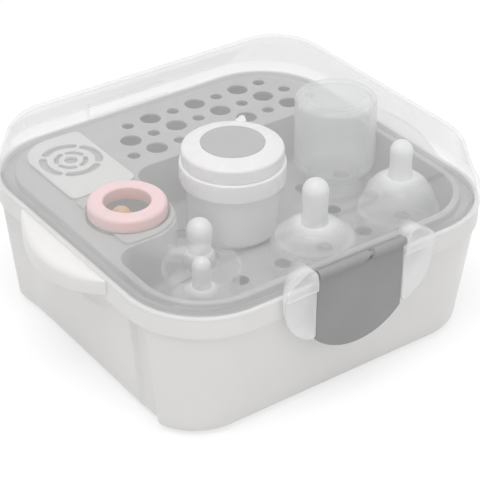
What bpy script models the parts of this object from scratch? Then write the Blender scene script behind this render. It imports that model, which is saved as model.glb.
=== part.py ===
"""Microwave steam sterilizer: a white tub with side grips, a hanging rack with its load of feeding
things, and a clear lift-off lid held by a hinged latch in front and a
fixed hook behind.

Metres, +Z up. The front, with the latch seen in the photograph, faces -Y. The origin is on the
floor below the middle of the tub.
"""

import logging
import math
from dataclasses import dataclass

import bmesh
import bpy
from mathutils import Matrix, Vector

log = logging.getLogger("sterilizer")

# Clearances and overruns shared by every piece
SEAT_GAP = 0.0003
PIN_GAP = 0.0003
OVERRUN = 0.0030
FUSE = 0.0012
FRONT = -1
BACK = 1
SMOOTH_ANGLE = math.radians(32)

# Tub, from the photograph: rim, foot and height
RIM_HALF_WIDTH = 0.1400
RIM_HALF_DEPTH = 0.1370
RIM_CORNER = 0.0590
RIM_HEIGHT = 0.1040
FOOT_TAPER_WIDTH = 0.0092
FOOT_TAPER_DEPTH = 0.0169
FOOT_TAPER_CORNER = 0.0150
FOOT_HALF_WIDTH = RIM_HALF_WIDTH - FOOT_TAPER_WIDTH
FOOT_HALF_DEPTH = RIM_HALF_DEPTH - FOOT_TAPER_DEPTH
FOOT_CORNER = RIM_CORNER - FOOT_TAPER_CORNER
FOOT_FILLET = 0.0090
TUB_WALL = 0.0025
TUB_FLOOR = 0.0028
COLLAR_TALL = 0.0160
COLLAR_STEP = 0.0018
RIM_WALL = 0.0033
RIM_CHAMFER = 0.0008
LEDGE_DROP = 0.0060
LEDGE_REACH = 0.0026
LEDGE_THICK = 0.0012

# Side panels set into the tub's left and right walls
PANEL_DEPTH = 0.0050
PANEL_FRONT_MARGIN = 0.0440
PANEL_HALF_SPAN = RIM_HALF_DEPTH - PANEL_FRONT_MARGIN
PANEL_COVE = 0.0170
PANEL_TOP_ROUND = 0.0080
SCOOP_DEPTH = 0.0022
SCOOP_MARGIN = 0.0410
SCOOP_HALF_SPAN = PANEL_HALF_SPAN - SCOOP_MARGIN
SCOOP_DROP = 0.0260

# Grip lips over the finger scoops
GRIP_REACH = 0.0180
GRIP_OVER_SCOOP = 0.0030
GRIP_HALF_SPAN = SCOOP_HALF_SPAN + GRIP_OVER_SCOOP
GRIP_THICK = 0.0024
GRIP_ROUND = 0.0060
GRIP_DROP_MIDDLE = 0.0175
GRIP_DROP_END = 0.0045
GRIP_BELOW_RIM = 0.0006
GRIP_ROOT = 0.0015

# Rack hanging on the tub's ledge, and the well that the load stands in
RACK_SHEET = 0.0020
RACK_RIM_GAP = 0.0005
DECK_OVER_RIM = 0.0030
DECK_HEIGHT = RIM_HEIGHT + DECK_OVER_RIM
DECK_INSET_WIDTH = 0.0120
DECK_INSET_DEPTH = 0.0125
DECK_INSET_CORNER = 0.0090
DECK_HALF_WIDTH = RIM_HALF_WIDTH - DECK_INSET_WIDTH
DECK_HALF_DEPTH = RIM_HALF_DEPTH - DECK_INSET_DEPTH
DECK_CORNER = RIM_CORNER - DECK_INSET_CORNER
RACK_STRIP = 0.0050
WELL_BELOW_RIM = 0.0390
WELL_FLOOR_HEIGHT = RIM_HEIGHT - WELL_BELOW_RIM
WELL_RIGHT = DECK_HALF_WIDTH - RACK_STRIP
WELL_FRONT = -(DECK_HALF_DEPTH - RACK_STRIP)
WELL_BACK_SHARE = 0.3904
STRIP_RIGHT_SHARE = 0.4453
STRIP_FRONT_SHARE = 0.2731
WELL_BACK = DECK_HALF_DEPTH * WELL_BACK_SHARE
STRIP_RIGHT = -DECK_HALF_WIDTH * STRIP_RIGHT_SHARE
STRIP_FRONT = -DECK_HALF_DEPTH * STRIP_FRONT_SHARE
STRIP_NOSE_RADIUS = (WELL_RIGHT + STRIP_RIGHT) / 2
WELL_CORNER = 0.0170
CUP_WELL_RADIUS_SHARE = 0.8636
CUP_WELL_X_SHARE = 0.9394
CUP_WELL_Y_SHARE = 0.0161
CUP_WELL_BELOW_RIM = 0.0180
CUP_WELL_RADIUS = STRIP_NOSE_RADIUS * CUP_WELL_RADIUS_SHARE
CUP_WELL_X = STRIP_RIGHT - STRIP_NOSE_RADIUS * CUP_WELL_X_SHARE
CUP_WELL_Y = DECK_HALF_DEPTH * CUP_WELL_Y_SHARE
CUP_WELL_FLOOR_HEIGHT = RIM_HEIGHT - CUP_WELL_BELOW_RIM
DRAIN_RADIUS = 0.0060
STEAM_HOLE_RADIUS = 0.0078
STRIP_PAD_TALL = 0.0020
STRIP_PAD_MARGIN = 0.0012
STRIP_PAD_INSET = 0.0175
STRIP_PAD_CORNER = 0.0060
STRIP_PAD_LEFT = -DECK_HALF_WIDTH + STRIP_PAD_INSET
STRIP_PAD_RIGHT = STRIP_RIGHT - STRIP_PAD_MARGIN
STRIP_PAD_FRONT = STRIP_FRONT + STRIP_PAD_MARGIN

# Tray for small parts on the rack's left strip
TRAY_SHEET = 0.0020
TRAY_MARGIN = 0.0060
TRAY_FRONT_SHARE = 0.2892
TRAY_FRONT = DECK_HALF_DEPTH * TRAY_FRONT_SHARE
TRAY_LEFT = STRIP_PAD_LEFT
TRAY_RIGHT = STRIP_PAD_RIGHT
TRAY_CORNER_SHARE = 0.1200
TRAY_OUTER_CORNER_SHARE = 0.6100
TRAY_CORNER = (TRAY_RIGHT - TRAY_LEFT) * TRAY_CORNER_SHARE
TRAY_OUTER_CORNER = (TRAY_RIGHT - TRAY_LEFT) * TRAY_OUTER_CORNER_SHARE
SLOT_WIDTH_SHARE = 0.0880
SLOT_SPACING_SHARE = 0.1800
SLOT_FIRST_RADIUS_SHARE = 0.2000
SLOT_WIDTH = (TRAY_RIGHT - TRAY_LEFT) * SLOT_WIDTH_SHARE
SLOT_SPACING = (TRAY_RIGHT - TRAY_LEFT) * SLOT_SPACING_SHARE
SLOT_FIRST_RADIUS = (TRAY_RIGHT - TRAY_LEFT) * SLOT_FIRST_RADIUS_SHARE

# Load: the tallest piece sets the lid's height, and the well sets how wide the pieces are
LOAD_HEIGHT = 0.0757
LOAD_CLEARANCE = 0.0050
LOAD_PITCH_WIDTH_SHARE = 0.2927
LOAD_PITCH_DEPTH_SHARE = 0.3013
LOAD_PITCH = min(WELL_RIGHT * LOAD_PITCH_WIDTH_SHARE, -WELL_FRONT * LOAD_PITCH_DEPTH_SHARE)
WELL_SEAT = WELL_FLOOR_HEIGHT + SEAT_GAP
CUP_SEAT = CUP_WELL_FLOOR_HEIGHT + SEAT_GAP
CUP_WALL = 0.0015
TEAT_WALL = 0.0016
FLANGE_THICK = 0.0023

# Lid
LID_WALL = 0.0020
LID_HEIGHT = WELL_SEAT + LOAD_HEIGHT + LOAD_CLEARANCE + LID_WALL
LID_SKIRT_PROUD = 0.0012
LID_SKIRT_TALL = 0.0080
LID_SKIRT_STEP = 0.0018
LID_LIP_DROP = 0.0028
LID_LIP_THICK = 0.0018
LID_LIP_GAP = 0.0006
LID_TOP_INSET_WIDTH = 0.0245
LID_TOP_INSET_DEPTH = 0.0380
LID_TOP_INSET_CORNER = 0.0330
LID_TOP_HALF_WIDTH = RIM_HALF_WIDTH - LID_TOP_INSET_WIDTH
LID_TOP_HALF_DEPTH = RIM_HALF_DEPTH - LID_TOP_INSET_DEPTH
LID_TOP_CORNER = RIM_CORNER - LID_TOP_INSET_CORNER
LID_SHOULDER_INSET_WIDTH = 0.0065
LID_SHOULDER_INSET_DEPTH = 0.0180
LID_SHOULDER_INSET_CORNER = 0.0160
LID_SHOULDER_HALF_WIDTH = RIM_HALF_WIDTH - LID_SHOULDER_INSET_WIDTH
LID_SHOULDER_HALF_DEPTH = RIM_HALF_DEPTH - LID_SHOULDER_INSET_DEPTH
LID_SHOULDER_CORNER = RIM_CORNER - LID_SHOULDER_INSET_CORNER
LID_SHOULDER_DROP_SHARE = 0.318
LID_SHOULDER_DROP = (LID_HEIGHT - RIM_HEIGHT) * LID_SHOULDER_DROP_SHARE

# Latches and the lugs of the lid that carry them
LATCH_WIDTH = 0.0714
LATCH_THICK = 0.0030
LATCH_STANDOFF = 0.0018
LATCH_END_BELOW_RIM = 0.0400
LATCH_MIDDLE_BELOW_RIM = 0.0554
LATCH_END_HEIGHT = RIM_HEIGHT - LATCH_END_BELOW_RIM
LATCH_MIDDLE_HEIGHT = RIM_HEIGHT - LATCH_MIDDLE_BELOW_RIM
LATCH_ROOT_BELOW_PIN = 0.0010
BARREL_RADIUS = 0.0032
PIN_OVER_RIM = 0.0108
PIN_HEIGHT = RIM_HEIGHT + PIN_OVER_RIM
PIN_RADIUS = 0.0015
PIN_REACH = 0.0048
BARREL_NOTCH_WIDTH = 0.0045
BARREL_NOTCH_OFFSET = 0.0067
BARREL_NOTCH_DEPTH = 0.0045
CATCH_RIB_HALF_LENGTH = 0.0260
CATCH_RIB_REACH = 0.0006
CATCH_RIB_TALL = 0.0030
BEAD_HALF_LENGTH = 0.0280
BEAD_REACH = 0.0008
BEAD_TALL = 0.0024
BEAD_BELOW_RIM = 0.0125
LUG_LENGTH = 0.0255
HOOK_BELOW_RIM = 0.0240
HOOK_CORNER = 0.0080
LUG_SIDE_GAP = 0.0005
LUG_THICK = 0.0040
LUG_FOOT_BELOW_RIM = 0.0395
LUG_HUMP_OVER_RIM = 0.0185
LUG_BOSS_THICK = 0.0070
LUG_ROOT_DEPTH = 0.0090


@dataclass(frozen=True)
class Cup:
    """A thin open cup or, turned over, a hood. Heights run up from its seat."""

    x: float
    y: float
    seat: float
    mouth_radius: float
    closed_radius: float
    height: float
    wall: float
    round: float
    mouth_up: bool


@dataclass(frozen=True)
class Teat:
    """A soft feeding teat standing on its flange."""

    x: float
    y: float
    seat: float
    flange_radius: float
    dome_radius: float
    dome_height: float
    tip_radius: float
    height: float
    flange_thick: float = FLANGE_THICK
    wall: float = TEAT_WALL


@dataclass(frozen=True)
class CupShares:
    """A cup's place in the well, its radii against the load pitch and its height against the load's."""

    x_share: float
    y_share: float
    mouth_share: float
    closed_share: float
    height_share: float


@dataclass(frozen=True)
class TeatShares:
    """A teat's radii against the load pitch and its heights against the load's."""

    flange_share: float
    dome_share: float
    dome_height_share: float
    tip_share: float
    height_share: float


@dataclass(frozen=True)
class Jar:
    """The wide storage jar with its two-part cap. Radii and tall sizes are shares, walls are lengths."""

    x_share: float = -0.0138
    y_share: float = 0.0017
    body_radius_share: float = 0.9444
    body_height_share: float = 0.7067
    collar_radius_share: float = 1.0556
    collar_height_share: float = 0.1915
    cap_radius_share: float = 1.0083
    cap_height_share: float = 0.1849
    crown_height_share: float = 0.0462
    disc_radius_share: float = 0.6250
    tab_length_share: float = 0.1389
    tab_width_share: float = 0.2500
    wall: float = 0.0018
    body_round: float = 0.0060
    collar_web: float = 0.0024
    collar_lip: float = 0.0050
    cap_wall: float = 0.0022
    cap_round: float = 0.0022
    disc_depth: float = 0.0012
    tab_rise: float = 0.0022


@dataclass(frozen=True)
class Bottle:
    """A wide-neck bottle standing on its mouth."""

    x_share: float = 0.7520
    y_share: float = 0.0335
    radius_share: float = 0.8333
    neck_radius_share: float = 0.5972
    neck_height_share: float = 0.1585
    shoulder_height_share: float = 0.1321
    wall: float = 0.0018
    round: float = 0.0050


@dataclass(frozen=True)
class Ring:
    """The pink screw ring on the small cup, against the radius of the cup's well."""

    radius_share: float = 0.9649
    bore_radius_share: float = 0.5719
    height: float = 0.0100
    round: float = 0.0030


def standing_cup(shares, rounding, mouth_up):
    """The cup that stands on the well's floor by these shares."""
    return Cup(x=WELL_RIGHT * shares.x_share, y=-WELL_FRONT * shares.y_share, seat=WELL_SEAT,
               mouth_radius=LOAD_PITCH * shares.mouth_share, closed_radius=LOAD_PITCH * shares.closed_share,
               height=LOAD_HEIGHT * shares.height_share, wall=CUP_WALL, round=rounding, mouth_up=mouth_up)


def standing_teat(shares, x, y, seat):
    """The teat that stands at x, y on seat by these shares."""
    return Teat(x=x, y=y, seat=seat, flange_radius=LOAD_PITCH * shares.flange_share,
                dome_radius=LOAD_PITCH * shares.dome_share,
                dome_height=LOAD_HEIGHT * shares.dome_height_share,
                tip_radius=LOAD_PITCH * shares.tip_share, height=LOAD_HEIGHT * shares.height_share)


JAR = Jar()
BOTTLE = Bottle()
RING = Ring()
SMALL_ROUND = 0.0030
CUP_ROUND = 0.0040
HOOD_ROUND = 0.0050
RING_CUP_MOUTH_SHARE = 0.9123
RING_CUP_CLOSED_SHARE = 0.8246
RING_CUP_HEIGHT_SHARE = 0.2867
RING_CUP = Cup(x=CUP_WELL_X, y=CUP_WELL_Y, seat=CUP_SEAT, mouth_radius=CUP_WELL_RADIUS * RING_CUP_MOUTH_SHARE,
               closed_radius=CUP_WELL_RADIUS * RING_CUP_CLOSED_SHARE,
               height=LOAD_HEIGHT * RING_CUP_HEIGHT_SHARE, wall=CUP_WALL, round=SMALL_ROUND, mouth_up=True)
FRONT_CUP = standing_cup(CupShares(x_share=-0.5935, y_share=-0.5439, mouth_share=0.7500, closed_share=0.6806,
                                   height_share=0.3963), CUP_ROUND, True)
TALL_HOOD = standing_cup(CupShares(x_share=0.0976, y_share=-0.6444, mouth_share=0.8889, closed_share=0.8333,
                                   height_share=0.3461), HOOD_ROUND, False)
WIDE_HOOD = standing_cup(CupShares(x_share=0.7276, y_share=-0.6151, mouth_share=0.8750, closed_share=0.8194,
                                   height_share=0.2708), HOOD_ROUND, False)
LATEX_SHIFT_X_SHARE = -0.2456
LATEX_SHIFT_Y_SHARE = -0.1053
LATEX_TEAT = standing_teat(
    TeatShares(flange_share=0.3194, dome_share=0.2778, dome_height_share=0.1189, tip_share=0.1611,
               height_share=0.2972),
    RING_CUP.x + CUP_WELL_RADIUS * LATEX_SHIFT_X_SHARE, RING_CUP.y + CUP_WELL_RADIUS * LATEX_SHIFT_Y_SHARE,
    RING_CUP.seat + CUP_WALL + SEAT_GAP)
FRONT_TEAT = standing_teat(
    TeatShares(flange_share=0.5278, dome_share=0.4167, dome_height_share=0.1585, tip_share=0.1806,
               height_share=0.4491),
    FRONT_CUP.x, FRONT_CUP.y, FRONT_CUP.seat + CUP_WALL + SEAT_GAP)
SHORT_TEAT_X_SHARE = -0.3984
SHORT_TEAT_Y_SHARE = -0.2259
SHORT_TEAT = standing_teat(
    TeatShares(flange_share=0.4150, dome_share=0.3472, dome_height_share=0.1717, tip_share=0.2556,
               height_share=0.5020),
    WELL_RIGHT * SHORT_TEAT_X_SHARE, -WELL_FRONT * SHORT_TEAT_Y_SHARE, WELL_SEAT)
TALL_TEAT = standing_teat(
    TeatShares(flange_share=0.7639, dome_share=0.6667, dome_height_share=0.1717, tip_share=0.2556,
               height_share=0.6143),
    TALL_HOOD.x, TALL_HOOD.y, TALL_HOOD.seat + TALL_HOOD.height + SEAT_GAP)
WIDE_TEAT = standing_teat(
    TeatShares(flange_share=0.8056, dome_share=0.7500, dome_height_share=0.3567, tip_share=0.2222,
               height_share=0.7199),
    WIDE_HOOD.x, WIDE_HOOD.y, WIDE_HOOD.seat + WIDE_HOOD.height + SEAT_GAP)

# Facet counts
CORNER_FACETS = 7
FILLET_FACETS = 3
LATHE_FACETS = 20
SMALL_LATHE_FACETS = 16


# Material colours, linear RGB, with roughness and alpha
FINISHES = {
    "white_plastic": ((0.86, 0.86, 0.85), 0.30, 1.0),
    "rack_grey_plastic": ((0.46, 0.46, 0.46), 0.40, 1.0),
    "pale_grey_plastic": ((0.62, 0.62, 0.62), 0.40, 1.0),
    "clear_plastic": ((0.88, 0.89, 0.89), 0.12, 0.30),
    "latch_grey_plastic": ((0.20, 0.20, 0.20), 0.45, 1.0),
    "cap_white_plastic": ((0.88, 0.88, 0.88), 0.28, 1.0),
    "disc_grey_plastic": ((0.36, 0.36, 0.36), 0.45, 1.0),
    "pink_plastic": ((0.86, 0.58, 0.58), 0.35, 1.0),
    "latex": ((0.62, 0.33, 0.12), 0.40, 1.0),
    "silicone": ((0.80, 0.81, 0.81), 0.30, 0.55),
}


def clear_scene():
    """Removes every object that the startup file holds."""
    for obj in list(bpy.data.objects):
        bpy.data.objects.remove(obj, do_unlink=True)


def material(name):
    """Returns the Principled material called name, made once from FINISHES."""
    found = bpy.data.materials.get(name)
    if found:
        return found
    colour, roughness, alpha = FINISHES[name]
    made = bpy.data.materials.new(name)
    made.use_nodes = True
    shader = made.node_tree.nodes["Principled BSDF"]
    shader.inputs["Base Color"].default_value = (*colour, 1.0)
    shader.inputs["Roughness"].default_value = roughness
    shader.inputs["Metallic"].default_value = 0.0
    shader.inputs["Alpha"].default_value = alpha
    made.diffuse_color = (*colour, alpha)
    return made


def add_object(name, mesh_data, finish, origin=(0.0, 0.0, 0.0)):
    """Turns a bmesh in world coordinates into an object whose own origin is at origin."""
    bmesh.ops.recalc_face_normals(mesh_data, faces=mesh_data.faces)
    bmesh.ops.transform(mesh_data, matrix=Matrix.Translation(-Vector(origin)), verts=mesh_data.verts)
    mesh = bpy.data.meshes.new(name)
    mesh_data.to_mesh(mesh)
    mesh_data.free()
    for polygon in mesh.polygons:
        polygon.use_smooth = True
    mesh.set_sharp_from_angle(angle=SMOOTH_ANGLE)
    obj = bpy.data.objects.new(name, mesh)
    obj.location = origin
    if finish:
        mesh.materials.append(material(finish))
    bpy.context.scene.collection.objects.link(obj)
    return obj


def helper(name, mesh_data):
    """Adds a solid that only joins or cuts others, so it isn't drawn."""
    obj = add_object(name, mesh_data, None)
    obj.hide_render = True
    obj.display_type = "WIRE"
    return obj


def combine(obj, other, operation):
    """Gives obj a Boolean modifier with the helper other."""
    modifier = obj.modifiers.new(f"{operation.lower()}_{other.name}", "BOOLEAN")
    modifier.operation = operation
    modifier.solver = "EXACT"
    modifier.object = other


def settle(obj):
    """Bakes obj's modifiers into its mesh and drops their helpers, then marks its sharp edges."""
    helpers = {modifier.object for modifier in obj.modifiers if modifier.type == "BOOLEAN"}
    graph = bpy.context.evaluated_depsgraph_get()
    mesh = bpy.data.meshes.new_from_object(obj.evaluated_get(graph))
    obj.modifiers.clear()
    obj.data = mesh
    mesh.name = obj.name
    mesh.set_sharp_from_angle(angle=SMOOTH_ANGLE)
    for other in helpers:
        for modifier in list(other.modifiers):
            bpy.data.objects.remove(modifier.object, do_unlink=True)
        bpy.data.objects.remove(other, do_unlink=True)


def arc(centre_x, centre_y, radius, start, end, steps):
    """Points on an arc, both ends included, angles in radians."""
    angles = [start + (end - start) * step / steps for step in range(steps + 1)]
    return [(centre_x + radius * math.cos(a), centre_y + radius * math.sin(a)) for a in angles]


def rounded_rectangle(half_width, half_depth, corner, facets=CORNER_FACETS):
    """A counter-clockwise outline with four equal corner arcs."""
    points = []
    for index, (sign_x, sign_y) in enumerate(((1, 1), (-1, 1), (-1, -1), (1, -1))):
        start = index * math.pi / 2
        centre = (sign_x * (half_width - corner), sign_y * (half_depth - corner))
        points += arc(*centre, corner, start, start + math.pi / 2, facets)
    return points


def rounded_polygon(corners, facets=CORNER_FACETS):
    """An outline through (x, y, radius) corners, each rounded by its own radius."""
    points = []
    for index, (x, y, radius) in enumerate(corners):
        here = Vector((x, y))
        before = (Vector(corners[index - 1][:2]) - here).normalized()
        after = (Vector(corners[(index + 1) % len(corners)][:2]) - here).normalized()
        half_angle = before.angle(after) / 2
        reach = radius / math.tan(half_angle)
        centre = here + (before + after).normalized() * radius / math.sin(half_angle)
        first = here + before * reach - centre
        last = here + after * reach - centre
        turn = first.angle_signed(last)
        for step in range(facets + 1):
            spoke = first.copy()
            spoke.rotate(Matrix.Rotation(-turn * step / facets, 2))
            points.append(tuple(centre + spoke))
    return points


def loft(levels):
    """A closed bmesh through rings of equal point counts, each ring a list of (x, y, z)."""
    mesh_data = bmesh.new()
    rings = [[mesh_data.verts.new(point) for point in level] for level in levels]
    for lower, upper in zip(rings, rings[1:]):
        count = len(lower)
        for i in range(count):
            j = (i + 1) % count
            mesh_data.faces.new((lower[i], lower[j], upper[j], upper[i]))
    mesh_data.faces.new(list(reversed(rings[0])))
    mesh_data.faces.new(rings[-1])
    return mesh_data


def at_height(outline, z):
    """An outline as a ring of 3-D points."""
    return [(x, y, z) for x, y in outline]


def prism(outline, low, high):
    """A closed bmesh with outline as its plan, from low to high."""
    return loft([at_height(outline, low), at_height(outline, high)])


def wall_prism(outline, near, far):
    """A closed bmesh with an (x, z) outline, reaching from y = near to y = far."""
    return loft([[(x, y, z) for x, z in outline] for y in (near, far)])


def lathe(profile, x, y, z, facets=LATHE_FACETS):
    """A surface of revolution about a vertical axis. An (r, h) profile that doesn't start on the
    axis is closed on itself; a radius of zero is one point on the axis."""
    mesh_data = bmesh.new()
    rings = []
    for radius, height in profile:
        if radius == 0:
            rings.append([mesh_data.verts.new((x, y, z + height))])
            continue
        spots = [(x + radius * math.cos(math.tau * i / facets),
                  y + radius * math.sin(math.tau * i / facets), z + height) for i in range(facets)]
        rings.append([mesh_data.verts.new(spot) for spot in spots])
    pairs = list(zip(rings, rings[1:]))
    if profile[0][0] != 0:
        pairs.append((rings[-1], rings[0]))
    for lower, upper in pairs:
        for i in range(facets):
            j = (i + 1) % facets
            if len(lower) == 1:
                mesh_data.faces.new((lower[0], upper[j], upper[i]))
            elif len(upper) == 1:
                mesh_data.faces.new((lower[i], lower[j], upper[0]))
            else:
                mesh_data.faces.new((lower[i], lower[j], upper[j], upper[i]))
    return mesh_data


def disc_prism(x, y, radius, low, high, facets=SMALL_LATHE_FACETS):
    """A plain upright cylinder, closed."""
    return prism(arc(x, y, radius, 0, math.tau * (facets - 1) / facets, facets - 1), low, high)


def blend(first, second, share):
    """The value a share of the way from first to second."""
    return first + (second - first) * share


# Tub


def collar_foot():
    """The height at which the tub's collar starts."""
    return RIM_HEIGHT - COLLAR_TALL


def tub_sizes(z):
    """Half width, half depth and corner radius of the tub's outer wall below its collar."""
    share = z / collar_foot()
    return (
        blend(FOOT_HALF_WIDTH, RIM_HALF_WIDTH - COLLAR_STEP, share),
        blend(FOOT_HALF_DEPTH, RIM_HALF_DEPTH - COLLAR_STEP, share),
        blend(FOOT_CORNER, RIM_CORNER - COLLAR_STEP, share),
    )


def panel_edge(z):
    """How far from the middle the side panel reaches at height z: its top corners are round."""
    over = z - (collar_foot() - PANEL_TOP_ROUND)
    if over <= 0:
        return PANEL_HALF_SPAN
    over = min(over, PANEL_TOP_ROUND)
    return PANEL_HALF_SPAN - PANEL_TOP_ROUND + math.sqrt(PANEL_TOP_ROUND**2 - over**2)


def panel_depth(y, z):
    """How far the side wall is set in at a point of the panel, finger scoop included."""
    edge = panel_edge(z)
    ramp = max(0.0, (abs(y) - (edge - PANEL_COVE)) / PANEL_COVE)
    depth = PANEL_DEPTH * max(0.0, 1 - ramp**2)
    below = (collar_foot() - z) / SCOOP_DROP
    room = 1 - (y / SCOOP_HALF_SPAN) ** 2 - below**2
    return depth + SCOOP_DEPTH * math.sqrt(max(0.0, room))


def tub_ring(half_width, half_depth, corner, z, pattern_z, recessed):
    """One level of the tub, walls and panels, as 3-D points. The panel's shape is read at
    pattern_z, so that inner and outer walls follow each other."""
    edge = panel_edge(pattern_z)
    flat = edge - PANEL_COVE
    flat_shares = (0.0, 0.2, 0.4, 0.58, 0.76, 1.0)
    cove_shares = (0.4, 0.75, 1.0)
    upper = [flat * share for share in flat_shares] + [flat + PANEL_COVE * share for share in cove_shares]
    ys = [-y for y in reversed(upper[1:])] + upper
    straight = half_depth - corner

    def outline_x(y):
        past = max(0.0, abs(y) - straight)
        return half_width - corner + math.sqrt(corner**2 - past**2)

    start = math.asin(max(0.0, edge - straight) / corner)
    right = [(outline_x(y) - (panel_depth(y, pattern_z) if recessed else 0.0), y) for y in ys]
    turn = arc(half_width - corner, straight, corner, start, math.pi / 2, CORNER_FACETS)[1:]
    quarter = right + turn
    left = [(-x, -y) for x, y in right]
    back_left = [(-x, y) for x, y in reversed(turn)]
    front_left = [(-x, -y) for x, y in turn]
    front_right = [(x, -y) for x, y in reversed(turn)]
    return at_height(quarter + back_left + left + front_left + front_right, z)


def tub_levels():
    """The tub's skin from the middle of its underside, up the outside, over the rim and down."""
    foot = collar_foot()
    levels = []
    for step in range(FILLET_FACETS + 1):
        angle = math.pi / 2 * step / FILLET_FACETS
        z = FOOT_FILLET * (1 - math.cos(angle))
        inset = FOOT_FILLET * (1 - math.sin(angle))
        width, depth, corner = tub_sizes(z)
        levels.append(tub_ring(width - inset, depth - inset, corner - inset, z, z, True))
    rise = foot - FOOT_FILLET
    wall_shares = (0.40, 0.62, 0.70, 0.80, 0.90, 0.96, 1.0)
    heights = [FOOT_FILLET + rise * share for share in wall_shares]
    for z in heights:
        levels.append(tub_ring(*tub_sizes(z), z, z, True))
    full = (RIM_HALF_WIDTH, RIM_HALF_DEPTH, RIM_CORNER)
    levels.append(tub_ring(*full, foot, foot, False))
    levels.append(tub_ring(*full, RIM_HEIGHT - RIM_CHAMFER, foot, False))
    levels.append(tub_ring(*[size - RIM_CHAMFER for size in full], RIM_HEIGHT, foot, False))
    mouth = [size - RIM_WALL for size in full]
    ledge = [size - LEDGE_REACH for size in mouth]
    ledge_top = RIM_HEIGHT - LEDGE_DROP
    levels.append(tub_ring(*mouth, RIM_HEIGHT, foot, False))
    levels.append(tub_ring(*mouth, ledge_top, foot, False))
    levels.append(tub_ring(*ledge, ledge_top, foot, False))
    levels.append(tub_ring(*ledge, ledge_top - LEDGE_THICK, foot, False))
    bore = [size - COLLAR_STEP - TUB_WALL for size in full]
    levels.append(tub_ring(*bore, ledge_top - LEDGE_THICK - LEDGE_REACH, foot, False))
    for z in reversed(heights[:-1]):
        sizes = [size - TUB_WALL for size in tub_sizes(z)]
        levels.append(tub_ring(*sizes, z, z, True))
    inner_fillet = FOOT_FILLET - TUB_WALL
    for step in range(FILLET_FACETS, -1, -1):
        angle = math.pi / 2 * step / FILLET_FACETS
        z = TUB_FLOOR + inner_fillet * (1 - math.cos(angle))
        inset = TUB_WALL + inner_fillet * (1 - math.sin(angle))
        levels.append(tub_ring(*[size - inset for size in tub_sizes(z)], z, z, True))
    return levels


def grip_ring(y):
    """The section of a grip lip at y, on the right side."""
    share = (y / GRIP_HALF_SPAN) ** 2
    reach = GRIP_REACH * (1 - share) + GRIP_THICK / 2
    top = RIM_HEIGHT - GRIP_BELOW_RIM
    tip = top - blend(GRIP_DROP_MIDDLE, GRIP_DROP_END, share)
    bend = min(GRIP_ROUND, reach / 2)
    inner_bend = bend / 2
    face = RIM_HALF_WIDTH
    outer = [(face + x, z) for x, z in arc(reach - bend, top - bend, bend, math.pi / 2, 0, FILLET_FACETS)]
    inner_centre = (reach - GRIP_THICK - inner_bend, top - GRIP_THICK - inner_bend)
    inner = [(face + x, z) for x, z in arc(*inner_centre, inner_bend, 0, math.pi / 2, FILLET_FACETS - 1)]
    tip = min(tip, inner[0][1] - GRIP_THICK / 4)
    outline = [(face - GRIP_ROOT, top), *outer, (face + reach, tip), (face + reach - GRIP_THICK, tip)]
    outline += [*inner, (face - GRIP_ROOT, top - GRIP_THICK)]
    return [(max(x, face - GRIP_ROOT), y, z) for x, z in outline]


def build_grip(side):
    """The lip that the fingers lift the tub by: a loft along Y, mirrored for the left side."""
    span_shares = (-1.0, -0.85, -0.65, -0.4, -0.15, 0.15, 0.4, 0.65, 0.85, 1.0)
    levels = [grip_ring(GRIP_HALF_SPAN * share) for share in span_shares]
    levels = [[(side * x, y, z) for x, y, z in level] for level in levels]
    return helper(f"grip_{'right' if side > 0 else 'left'}", loft(levels))


def build_bead(facing):
    """The low bead on the collar that a latch snaps over."""
    middle = RIM_HEIGHT - BEAD_BELOW_RIM
    half = BEAD_TALL / 2
    face = RIM_HALF_DEPTH
    section = ((face - FUSE, middle - half - FUSE), (face, middle - half), (face + BEAD_REACH, middle),
               (face, middle + half), (face - FUSE, middle + half + FUSE))
    levels = [[(x, facing * y, z) for y, z in section] for x in (-BEAD_HALF_LENGTH, BEAD_HALF_LENGTH)]
    return helper(f"bead_{'back' if facing > 0 else 'front'}", loft(levels))


def build_tub():
    """The white tub with its grips, and the beads that the latch and the hook hold on to."""
    tub = add_object("base_tub", loft(tub_levels()), "white_plastic")
    for side in (-1, 1):
        combine(tub, build_grip(side), "UNION")
    for facing in (FRONT, BACK):
        combine(tub, build_bead(facing), "UNION")
    return tub


# Rack


def well_outline(inset=0.0):
    """The plan of the big well: wide at the front, right of the strip at the back."""
    right = WELL_RIGHT - inset
    front = WELL_FRONT + inset
    big = DECK_CORNER - RACK_STRIP - inset
    small = WELL_CORNER - inset
    return rounded_polygon((
        (right, front, big),
        (right, WELL_BACK - inset, small),
        (STRIP_RIGHT + inset, WELL_BACK - inset, small),
        (STRIP_RIGHT + inset, STRIP_FRONT - inset, STRIP_NOSE_RADIUS + inset),
        (-right, STRIP_FRONT - inset, small),
        (-right, front, big),
    ))


def well_shell(name, outline_at, low, high):
    """The outer and inner solids of a well, as two helpers."""
    outer = helper(f"{name}_skin", prism(outline_at(-RACK_SHEET), low - RACK_SHEET, high))
    inner = helper(f"{name}_space", prism(outline_at(0.0), low, high + STRIP_PAD_TALL + OVERRUN))
    return outer, inner


def cup_well_outline(inset=0.0):
    """The plan of the round well for the small cup."""
    return arc(CUP_WELL_X, CUP_WELL_Y, CUP_WELL_RADIUS - inset, 0,
               math.tau * (LATHE_FACETS - 1) / LATHE_FACETS, LATHE_FACETS - 1)


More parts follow.
